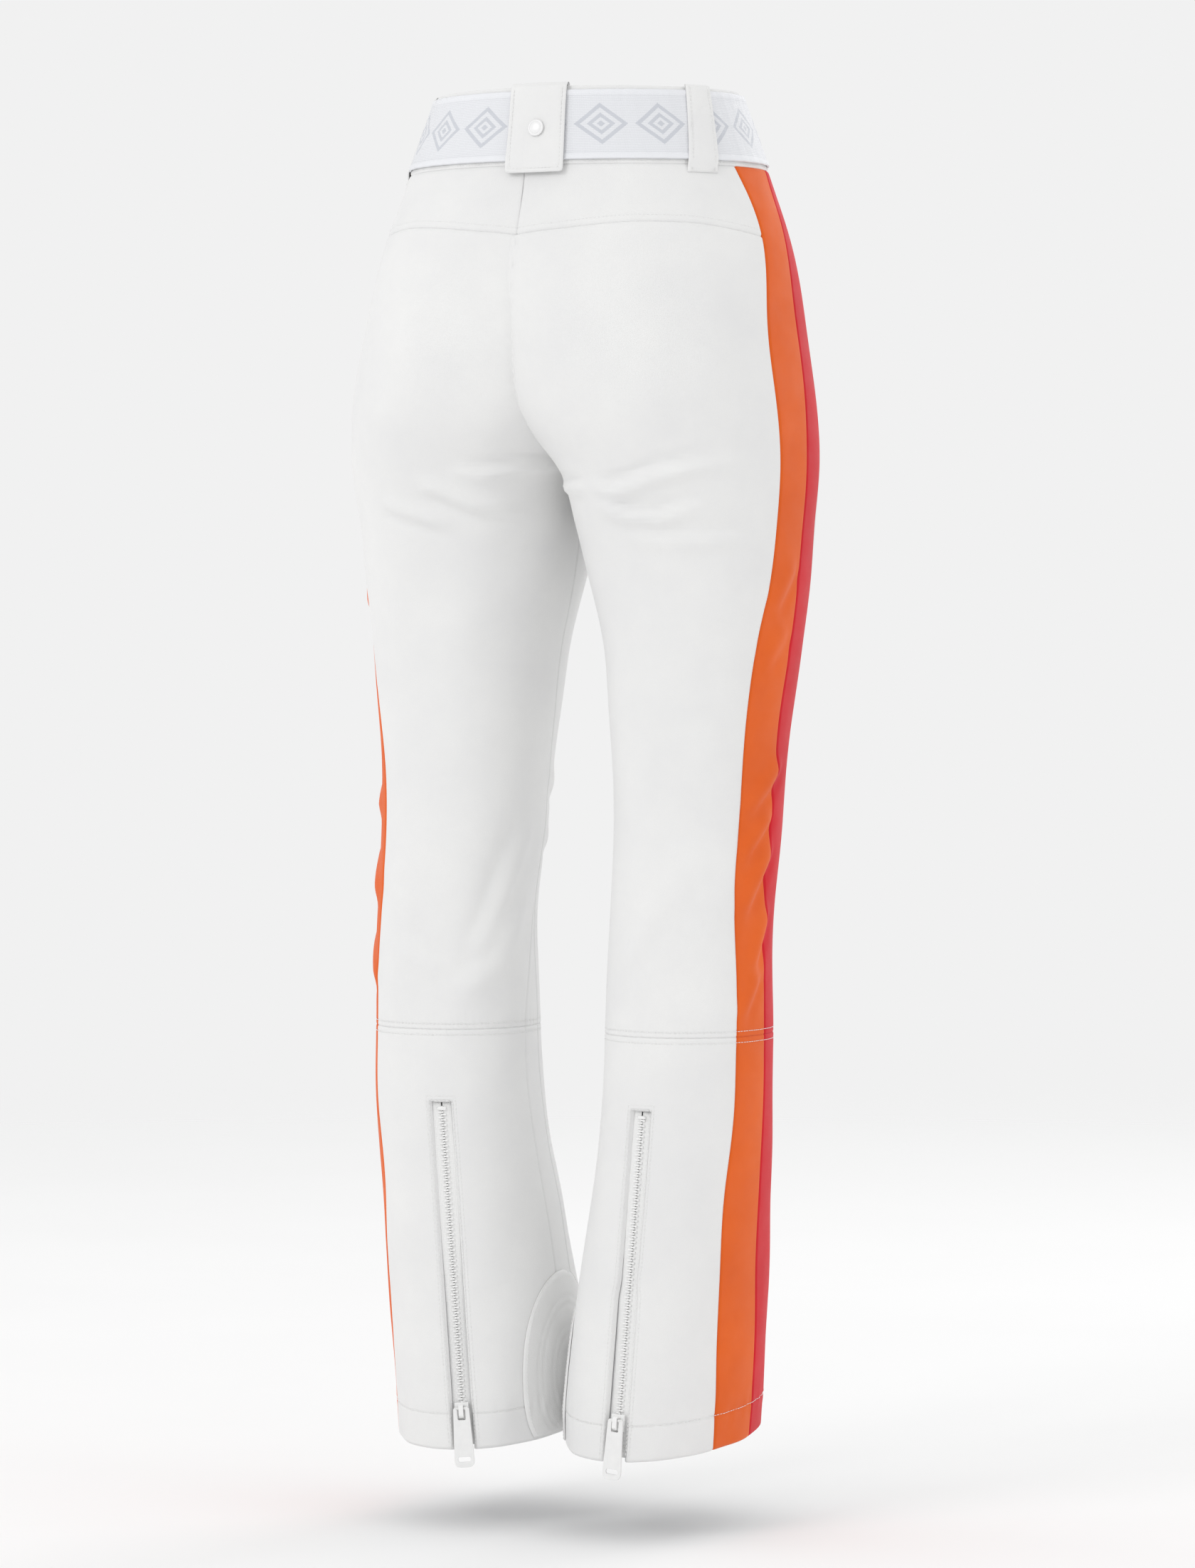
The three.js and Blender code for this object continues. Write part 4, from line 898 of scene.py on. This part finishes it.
# ------------------------------------------------------------------ inside the legs
# A storm gaiter of grey woven nylon hangs inside each hem and grips the boot with a rubber-striped elastic.
# Behind each hem zip a gusset of the same cloth keeps snow out when it is open.
NYLON = lining_cloth("grey_nylon", (0.6, 0.62, 0.65))
GRIP = Recipe("gripper_elastic", (0.16, 0.165, 0.175), 0.6, Specular_IOR_Level=0.4)
grip_bars = GRIP.rows(GRIP.cloth()[1], 0.0035)
GRIP.colour(GRIP.spread(grip_bars, -0.3, 0.3), (0.08, 0.085, 0.09), (0.32, 0.33, 0.35))
GRIP.relief(GRIP.spread(grip_bars, -0.5, 0.5), 0.0005, 0.7)


def inner_sheet(name, side, turns, heights, depth, thick, material, closed=False):
    """Loose sheet inside a leg; depth gives how far below the face it lies, in mm."""
    turn, z = np.meshgrid(turns, heights)
    run = turn * 1.5 * MM
    layers = []
    p, n = face_point(turn, z), face_normal(turn, z)
    for extra in (0.0, thick):
        layers.append((p - n * ((depth(turn, z) + extra) * MM)[..., None]) * np.array([SIDES[side], 1, 1]))
    keep = np.ones((len(heights) - 1, len(turns) - 1), bool)
    sheet = cloth_sheet(name, *layers, np.stack([run, z * MM], -1), keep, [material] * 2, SIDES[side] < 0)
    if closed:
        weld = sheet.modifiers.new("joined_seam", "WELD")
        weld.merge_threshold = 0.00002
    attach(sheet, "trousers")
    return sheet


round_leg = np.linspace(-180, 180, 181)
for side in SIDES:
    top, bottom = -832, -1004
    pleat = lambda turn, z: 0.75 * np.sin(np.radians(turn) * 30 + 2 * np.sin(np.radians(turn) * 3)) * step_up(
        -z, 880, 1000) + 0.25 * np.sin(np.radians(turn) * 11 + z * 0.05)
    depth = lambda turn, z: 12.2 + 5 * np.sin(np.pi * (top - z) / (top - bottom)) + pleat(turn, z)
    sheet = inner_sheet(f"{side}_gaiter_cloth", side, round_leg, np.linspace(top, bottom, 40), depth, 0.5, NYLON,
                        True)
    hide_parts(f"{side}_snow_gaiter")
    ribbed = lambda turn, z: 11.4 + 0.25 * np.cos((z + 1011) * 1.1) + 0.2 * np.sin(np.radians(turn) * 60)
    sheet = inner_sheet(f"{side}_gaiter_grip", side, round_leg, np.linspace(-1004.4, -1018, 12), ribbed, 1.3,
                        GRIP.material, True)
    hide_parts(f"{side}_gaiter_elastic")
    t0, _, t1, *_ = ZIPS[f"{side}_hem_zip"]
    middle = (t0 + t1) / 2
    ripple = lambda turn, z: 9.4 + 0.2 * np.sin(turn * 0.7 + z * 0.03)
    sheet = inner_sheet(f"{side}_snow_gusset", side, np.linspace(middle - 17, middle + 17, 20),
                        np.linspace(-762, -1026, 60), ripple, 0.5, NYLON)
    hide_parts(f"{side}_zip_gusset")
    slack = lambda turn, z: 13.0 + 0.35 * np.sin(turn * 0.35 + z * 0.04) * step_up(-z, 130, 180)
    sheet = inner_sheet(f"{side}_pocket_pouch", side, np.linspace(-60, -31, 24), np.linspace(-118, -318, 50),
                        slack, 1.2, NYLON)
    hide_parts(f"{side}_pocket_bag")

# ------------------------------------------------------------------ scuff guards
# A half-oval of thick coated cloth is bonded and stitched over each inner hem, where the ski edges rub.
# Two raised outlines are pressed into its face.
GUARD = Recipe("coated_guard", (0.82, 0.82, 0.81), 0.5, Specular_IOR_Level=0.45)
coated = GUARD.place()
pebble = GUARD.node("ShaderNodeTexVoronoi", {"Vector": coated, "Scale": 900}).outputs[0]
GUARD.colour(GUARD.noise(coated, 40, 4), (0.76, 0.76, 0.755), (0.84, 0.84, 0.835))
GUARD.roughness(GUARD.noise(coated, 90, 3), 0.44, 0.58)
GUARD.relief(pebble, 0.00012, 0.6)

GUARD_TALL, GUARD_TURN, GUARD_THICK, WIDEST = 120, 37, 1.9, 0.32


def guard_climb(climb):
    """How far up or down from the guard's widest level, from 0 to 1 at its top."""
    return np.where(climb > WIDEST, (climb - WIDEST) / (1 - WIDEST), 0.6 * (WIDEST - climb) / WIDEST)


def guard_half(climb):
    """Half the guard's width at each height, in degrees round the leg."""
    return GUARD_TURN * np.sqrt(1 - guard_climb(climb)**2.2)


for side in SIDES:
    climb, reach = np.meshgrid(np.linspace(0, 0.998, 72), np.linspace(-1, 1, 64), indexing="ij")
    turn = 180 + guard_half(climb) * reach
    z = hem_height(turn) + 2 + GUARD_TALL * climb
    oval = np.sqrt(((turn - 180) / GUARD_TURN)**2 + guard_climb(climb)**2.2)
    pressed = sum(0.5 * np.exp(-((oval - ring) / 0.022)**2) for ring in (0.36, 0.45, 0.64, 0.73))
    edge = 1.25 * (1 - step_up(1 - np.maximum(oval, 0.97 * (climb < 0.008)), 0, 0.05))
    relief = GUARD_THICK - pressed - np.clip(edge, 0, 1.0)
    p, n = face_point(turn, z), face_normal(turn, z)
    flat = drape(side, p.reshape(-1, 3), n.reshape(-1, 3), turn.ravel(), z.ravel()).reshape(turn.shape)
    flip = np.array([SIDES[side], 1, 1])
    outer = (p + n * ((flat + relief) * MM)[..., None]) * flip
    inner = (p + n * ((flat + 0.35) * MM)[..., None]) * flip
    cloth_map = np.stack([turn * 1.5 * MM, z * MM], -1)
    guard = cloth_sheet(f"{side}_guard", outer[::-1], inner[::-1], cloth_map[::-1], np.ones((71, 63), bool),
                        [GUARD.material] * 2, SIDES[side] < 0)
    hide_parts(f"{side}_scuff_guard")
    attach(guard, "trousers")
    climb = 0.965 * np.sin(np.linspace(0, np.pi / 2, 60))
    turn = 180 + 0.94 * np.r_[-guard_half(climb), guard_half(climb[::-1])]
    z = hem_height(turn) + 2 + GUARD_TALL * np.r_[climb, climb[::-1]]
    points, normals = on_cloth(side, turn, z, 1.95)
    stitch(f"{side}_guard_stitches", points, normals)

# ------------------------------------------------------------------ waistband
# The waistband is the white softshell, 60 mm deep, folded over stiff tape at the top and faced inside
# with brushed grey knit. It is open at the front, where its ends meet over the fly.
def both(phi, z):
    """Turn on its own half, and which half, for an angle round the whole waist: 90 behind, -90 in front."""
    turn = (phi + 90) % 360 - 90
    half = np.where(turn <= 90, turn, 180 - turn)
    meet = np.where(half > 0, centre_turn(z, True), -centre_turn(z, False))
    return half * meet / 90, np.where(turn <= 90, 1.0, -1.0)


def waist_point(phi, z, lift):
    """Point round the waist, lifted off the waistband's face, and the outward direction."""
    phi, z, lift = np.broadcast_arrays(np.asarray(phi, float), np.asarray(z, float), np.asarray(lift, float))
    turn, hand = both(phi, z)
    flip = np.stack([hand, np.ones_like(hand), np.ones_like(hand)], -1)
    n = face_normal(turn, z)
    return (face_point(turn, z) + n * (lift * MM)[..., None]) * flip, n * flip


def strip_round(name, section, angles, materials, shape=None):
    """Solid strip that follows the waist: section is a closed line of (lift, height) in mm."""
    section = np.array(section, float)
    phi, lift = np.meshgrid(angles, section[:, 0], indexing="ij")
    z = np.broadcast_to(section[:, 1], phi.shape)
    if shape is not None:
        lift = lift + shape(phi, lift, z)
    points, _ = waist_point(phi, z, lift)
    count = len(section)
    cloth_map = np.stack([np.radians(phi) * 0.125, -z * MM], -1)
    faces = []
    for i in range(len(angles) - 1):
        for k in range(count):
            a, b = i * count + k, i * count + (k + 1) % count
            faces.append((a, b, b + count, a + count))
    faces += [tuple(range(count - 1, -1, -1)), tuple((len(angles) - 1) * count + k for k in range(count))]
    piece = add_mesh(name, points.reshape(-1, 3), faces, materials, cloth_map.reshape(-1, 2))
    return piece


band_section = [(-3.0, -60)] + [(-3.0, z) for z in np.linspace(-50, -4, 12)] + [
    (-2.8, -1.4), (-2.2, -0.3), (-1.4, 0.1), (-0.6, -0.2), (-0.1, -1.2)] + [
    (0.0, z) for z in np.linspace(-3, -56, 14)] + [(-0.2, -58.6), (-0.9, -59.8), (-2.0, -60.2)]
give = lambda phi, lift, z: 0.12 * np.sin(phi * 0.31 + 0.4) + 0.08 * np.sin(phi * 0.83)
band = strip_round("waistband_cloth", band_section, np.linspace(-89.8, 269.8, 300), [WHITE], give)
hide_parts("left_waistband", "right_waistband")
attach(band, "trousers")
phi = np.linspace(-88, 268, 400)
points, normals = waist_point(phi, -58.2, 0.05)
stitch("waistband_stitches", points, normals)
facing = strip_round("waistband_facing", [(-3.1, -8), (-3.7, -8.4), (-3.7, -56), (-3.1, -56.6)],
                     np.linspace(-86, 266, 180), [GREY_BACK], give)
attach(facing, "trousers")

# ------------------------------------------------------------------ elastic belt
# The belt is a 53 mm jacquard elastic, bluish silver, with plain 4 mm edges and a woven row of
# lozenges, tone on tone. It runs round the back from one end of the clasp to the other.
ELASTIC = Recipe("silver_elastic", (0.7, 0.73, 0.8), 0.5, Sheen_Weight=0.35, Sheen_Roughness=0.35,
                 Specular_IOR_Level=0.45)
along, up = ELASTIC.cloth()
LOZENGE_PITCH, BELT_MIDDLE, LOZENGE_TALL = 0.046, 0.0302, 0.036
repeat = ELASTIC.sum("FRACT", ELASTIC.sum("DIVIDE", along, LOZENGE_PITCH))
beside = ELASTIC.sum("ABSOLUTE", ELASTIC.sum("SUBTRACT", repeat, 0.5))
above = ELASTIC.sum("DIVIDE", ELASTIC.sum("SUBTRACT", up, BELT_MIDDLE), LOZENGE_TALL)
height = ELASTIC.sum("ABSOLUTE", above)
lozenge = ELASTIC.sum("ADD", beside, height)
inner_ring, outer_ring = (
    ELASTIC.sum("MULTIPLY", ELASTIC.spread(lozenge, low, low + 0.015),
                ELASTIC.spread(lozenge, high, high - 0.015))
    for low, high in ((0.135, 0.24), (0.335, 0.45)))
heart = ELASTIC.spread(lozenge, 0.075, 0.06)
figure = ELASTIC.sum("MAXIMUM", heart, ELASTIC.sum("MAXIMUM", inner_ring, outer_ring))
knit = ELASTIC.sum("MULTIPLY_ADD", ELASTIC.rows(along, 0.0009), 0.2,
                   ELASTIC.sum("MULTIPLY_ADD", ELASTIC.rows(up, 0.0013), 0.3, 0.5))
ground = ELASTIC.blend(knit, (0.68, 0.69, 0.72), (0.82, 0.83, 0.86))
patterned = ELASTIC.blend(ELASTIC.sum("MULTIPLY", figure, 0.8), ground, (0.54, 0.56, 0.61))
ELASTIC.colour(ELASTIC.sum("GREATER_THAN", height, 0.62), patterned, (0.8, 0.81, 0.84))
ELASTIC.relief(ELASTIC.sum("MULTIPLY_ADD", figure, 0.4, knit), 0.00022, 0.7)

belt_section = [(0.85, -56.6)] + [(0.85, z) for z in np.linspace(-50, -10, 6)] + [(0.85, -4.0), (1.4, -3.5)]
belt_section += [(2.2, -3.7), (2.45, -4.4), (2.5, -6.0), (2.4, -7.6), (2.12, -8.2)]
belt_section += [(2.15, z) for z in np.linspace(-11, -49, 16)]
belt_section += [(2.12, -52.3), (2.4, -52.9), (2.5, -54.5), (2.45, -56.0), (2.2, -56.8), (1.4, -57)]
pull_in = lambda phi, lift, z: (lift > 1) * (0.14 * np.sin(phi * 0.9 + z * 0.02)
                                             + 0.08 * np.sin(phi * 2.3 + 1))
belt = strip_round("elastic_belt", belt_section, np.linspace(-79.5, 259.5, 420), [ELASTIC.material], pull_in)
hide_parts("belt_elastic")
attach(belt, "trousers")

# ------------------------------------------------------------------ belt loops
# Each loop is a folded strip of softshell, edge-stitched down both sides and bar-tacked at its ends.
# The side loops are wide and the front loops narrow. The waistband sits a little turned on the body, so
# the left side loop lies further forward.
LOOP_PATH = ((-8, 0.4), (-2, 0.5), (1.6, 1.0), (2.2, 2.4), (0.6, 3.8), (-4, 4.0), (-16, 4.0), (-30, 4.0),
             (-46, 4.0), (-57, 4.0), (-60.5, 2.9), (-63, 1.5), (-66.5, 1.3))
LOOPS = {
    "left": {"side": (13, 9, 27), "front": (-48, -48, 14)},
    "right": {"side": (30, 23.5, 27), "front": (-48, -48, 14)}}
for side, sign in SIDES.items():
    for kind, (low_phi, high_phi, width) in LOOPS[side].items():
        def lean(z, v, low_phi=low_phi, high_phi=high_phi, width=width, sign=sign):
            """Angle round the waist of a point v half widths from the loop's middle."""
            phi = low_phi + (high_phi - low_phi) * (z + 64) / 65
            return (phi if sign > 0 else 180 - phi) + v * np.degrees(width / 2 / 130)

        path = np.array(LOOP_PATH)
        run = np.r_[0, np.cumsum(np.linalg.norm(np.diff(path, axis=0), axis=1))]
        fine = np.linspace(0, run[-1], 74)
        z = np.interp(fine, run, path[:, 0])
        lift = np.interp(fine, run, path[:, 1])
        for _ in range(3):
            lift[1:-1] = (lift[:-2] + 2 * lift[1:-1] + lift[2:]) / 4
            z[1:-1] = (z[:-2] + 2 * z[1:-1] + z[2:]) / 4
        across = np.array([-1, -0.95, -0.87, -0.76, -0.6, -0.35, -0.1, 0.1, 0.35, 0.6, 0.76, 0.87, 0.95, 1])
        zz, v = np.meshgrid(z, across, indexing="ij")
        ll = np.broadcast_to(lift[:, None], v.shape)
        seam = np.exp(-((np.abs(v) - 0.76) / 0.07)**2)
        puff = 0.35 * (1 - np.abs(v)**3) - 0.55 * (np.abs(v) > 0.97) - 0.3 * seam
        crease = 0.7 * np.exp(-((zz + 20 + 16 * v * sign) / 2.2)**2) * (zz < -4) * (1 - np.abs(v))**0.5
        outer, _ = waist_point(lean(zz, v), zz, ll + puff - crease * (kind == "side"))
        inner, _ = waist_point(lean(zz, v), zz, np.maximum(ll - 1.4, 0.15))
        keep = np.ones((len(z) - 1, len(across) - 1), bool)
        loop = cloth_sheet(f"{side}_{kind}_loop", outer, inner, np.stack([v * 0.01, zz * MM], -1), keep,
                           [WHITE, WHITE], False)
        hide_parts(f"{side}_{kind}_belt_loop")
        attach(loop, "trousers")
        for v in (-0.74, 0.74):
            rows = slice(14, 66)
            points, normals = waist_point(lean(z[rows], v), z[rows], lift[rows] + 0.12)
            stitch("belt_loop_stitches", points, normals)
        for level in (-63.2, -64.2, -65.2):
            points, normals = waist_point(lean(level, np.linspace(-0.8, 0.8, 12)), level, 1.75)
            stitch("belt_loop_stitches", points, normals, pitch=1.5, length=1.4)

# ------------------------------------------------------------------ centre back tab
# A square flap of doubled softshell is sewn inside the waistband at the centre back, folds over its top
# edge and snaps down over the belt.
TAB_PHI, TAB_HALF, SNAP_Z = 94, 24.0, -33


def tab_angle(x, z):
    """Angle round the waist of a point x mm from the flap's middle line."""
    return TAB_PHI + np.degrees(x / (130 - z / 3))


path = np.array([(-15, -3.9), (-8, -3.9), (-2, -3.8), (1.4, -3.0), (2.9, -0.8), (3.1, 1.6), (2.2, 3.8),
                 (-0.6, 5.3), (-6, 5.6), (-20, 5.5), (-38, 5.5), (-52, 5.6), (-67, 5.6)])
run = np.r_[0, np.cumsum(np.linalg.norm(np.diff(path, axis=0), axis=1))]
fine = np.unique(np.r_[np.linspace(0, run[-1], 74), run[-1] - EDGE[:4]])
z, lift = np.interp(fine, run, path[:, 0]), np.interp(fine, run, path[:, 1])
for _ in range(3):
    z[1:-1] = (z[:-2] + 2 * z[1:-1] + z[2:]) / 4
    lift[1:-1] = (lift[:-2] + 2 * lift[1:-1] + lift[2:]) / 4
across = np.unique(np.r_[np.linspace(-TAB_HALF, TAB_HALF, 30), EDGE - TAB_HALF, TAB_HALF - EDGE])
zz, x = np.meshgrid(z, across, indexing="ij")
ll = np.broadcast_to(lift[:, None], x.shape)
corner = 3.0
inset = np.where(zz < -67 + corner, corner - np.sqrt(np.clip(corner**2 - (-67 + corner - zz)**2, 0, None)), 0)
x = x * (TAB_HALF - inset) / TAB_HALF
edge_fall = np.exp(-((TAB_HALF - inset - np.abs(x)) / 0.7)**2) + np.exp(-((zz + 67) / 0.7)**2) * (ll > 4)
row = 0.3 * (np.exp(-((np.abs(x) - TAB_HALF + 3.2) / 0.8)**2) + np.exp(-((zz + 63.8) / 0.8)**2) * (ll > 4))
dimple = 0.6 * np.exp(-((x**2 + (zz - SNAP_Z)**2) / 160))
swell = 0.35 * np.sin(x * 0.16 + 0.5) * np.cos(zz * 0.07) - dimple
outer, _ = waist_point(tab_angle(x, zz), zz, ll + swell - row - 0.8 * np.clip(edge_fall, 0, 1))
inner, _ = waist_point(tab_angle(x, zz), zz, ll - 1.5 + 0.4 * swell)
tab_keep = np.ones((len(z) - 1, len(across) - 1), bool)
cloth_map = np.stack([x * MM, np.broadcast_to(fine[:, None] * MM, x.shape)], -1)
tab = cloth_sheet("centre_back_flap", outer, inner, cloth_map, tab_keep, [WHITE, WHITE], False)
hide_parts("centre_back_tab")
fold_start, fold_end = (tuple(map(float, waist_point(TAB_PHI, 0, lift)[0])) for lift in (-0.5, 2.3))
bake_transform(tab)
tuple(fold_start)
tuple(fold_end)
down = np.linspace(-3, -61.5, 40)
row_half = TAB_HALF - 3.2
edge_line = np.concatenate([
    np.stack([np.full(40, -row_half), down], 1), [(1.7 - row_half, -63.8)],
    np.stack([np.linspace(4.3 - row_half, row_half - 4.3, 20), np.full(20, -63.8)], 1),
    [(row_half - 1.7, -63.8)], np.stack([np.full(40, row_half), down[::-1]], 1)])
points, normals = waist_point(tab_angle(*edge_line.T), edge_line[:, 1], 5.5)
stitch("flap_stitches", points, normals)

# ------------------------------------------------------------------ snaps and clasp
# Pressed brass snaps, plated satin and capped in white, hold the flap and the waistband's ends.
# The front clasp is stamped and brushed aluminium: a base plate, a hinged lever and a steel pin.
def metal(name, colour, roughness):
    recipe = Recipe(name, colour, roughness, Metallic=1.0)
    stretched = recipe.node("ShaderNodeMapping", {0: recipe.place(), 3: (30, 900, 900)}).outputs[0]
    brushed = recipe.noise(stretched, 1.0, 4, 0.6)
    recipe.colour(brushed, tuple(0.86 * c for c in colour), colour)
    recipe.roughness(brushed, roughness - 0.08, roughness + 0.1)
    recipe.relief(brushed, 0.00003, 0.5)
    return recipe


SATIN_NICKEL = metal("satin_nickel", (0.72, 0.72, 0.74), 0.34)
BRUSHED = metal("brushed_aluminium", (0.78, 0.79, 0.81), 0.32)
ENAMEL = Recipe("white_enamel", (0.85, 0.85, 0.85), 0.28, Coat_Weight=0.3, Coat_Roughness=0.15)
glaze = ENAMEL.place()
ENAMEL.colour(ENAMEL.noise(glaze, 300, 3), (0.8, 0.8, 0.8), (0.87, 0.87, 0.87))
ENAMEL.relief(ENAMEL.noise(glaze, 700, 2), 0.00003, 0.4)


def turned(name, outline, phi, z, lift, recipe, body, node):
    """Turned cap on the waist: outline is (radius, height) in mm from its centre line."""
    a, _ = waist_point(np.array([phi - 0.01, phi + 0.01]), z, lift)
    b, _ = waist_point(np.array([phi - 0.01, phi + 0.01]), z, lift + 10)
    origin, out = a.mean(0), unit(b.mean(0) - a.mean(0))
    x = unit(np.cross((0, 0, 1), out))
    y = np.cross(out, x)
    verts, faces, count = [], [], 48
    for radius, height in outline:
        for k in range(count):
            angle = 2 * math.pi * k / count
            verts.append(origin + MM * (radius * (math.cos(angle) * x + math.sin(angle) * y) + height * out))
    for r in range(len(outline) - 1):
        for k in range(count):
            c, d = r * count + k, r * count + (k + 1) % count
            faces.append((c, d, d + count, c + count))
    faces.append(tuple(range(count - 1, -1, -1)))
    faces.append(tuple((len(outline) - 1) * count + k for k in range(count)))
    cap = add_mesh(name, verts, faces, [recipe.material], np.asarray(verts)[:, [0, 2]])
    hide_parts(node)
    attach(cap, body)
    return cap


FLAP_CAP = [(6.1, 0), (6.35, 0.25), (6.35, 0.6), (6.1, 0.95), (5.5, 1.2), (5.0, 1.15), (4.75, 0.85),
            (4.55, 0.8), (4.3, 1.0), (3.6, 1.35), (2.0, 1.5), (0.4, 1.52)]
WAIST_CAP = [(5.7, 0), (6.0, 0.2), (6.0, 0.6), (5.7, 0.95), (5.0, 1.15), (4.0, 1.0), (3.8, 0.9), (0.4, 0.9)]
turned("flap_snap", FLAP_CAP, TAB_PHI, SNAP_Z, 5.85, ENAMEL, "back_tab", "tab_snap_cap")
turned("waist_snap", WAIST_CAP, -85.8, -30, 0.3, SATIN_NICKEL, "trousers", "waist_snap_cap")
ease_edges("tab_snap_stud", 0.00012, SATIN_NICKEL)
for part in ("clasp_base", "clasp_lever"):
    ease_edges(part, 0.0005, BRUSHED, 3)
ease_edges("clasp_pin", 0.00025, SATIN_NICKEL)

# ------------------------------------------------------------------ fly facing
# Behind the fly a doubled flap of grey-faced cloth covers the zip and the ends of the waistband.
# It is sewn to the wearer's right front.
rows = np.array([(-1, 5.6), (-30, 5.6), (-56, 6.2), (-70, 9.9), (-110, 11.3), (-150, 11.9), (-185, 11.9),
                 (-220, 10.4)])
z = np.linspace(-1, -220, 70)
phi, zz = np.meshgrid(np.linspace(-99, -81, 24), z)
deep = np.interp(-zz, -rows[:, 0], rows[:, 1]) + 0.15 * np.sin(zz * 0.09 + phi * 0.3)
outer, _ = waist_point(phi, zz, -deep)
inner, _ = waist_point(phi, zz, -deep - 0.9)
facing = cloth_sheet("fly_facing", outer, inner, np.stack([phi * 0.002, zz * MM], -1),
                     np.ones((69, 23), bool), [NYLON] * 2, False)
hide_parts("fly_underlap")
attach(facing, "trousers")

# ------------------------------------------------------------------ sewing it all
# All the rows of thread gathered above are laid in, each on the part that it holds.
for name, (verts, faces) in thread_rows.items():
    thread = add_mesh(name, verts, faces, [THREAD.material])
    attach(thread, "back_tab" if name == "flap_stitches" else "trousers")

bpy.context.view_layer.update()
size = [[list(map(float, corner)) for corner in box] for box in (cad_box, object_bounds())]
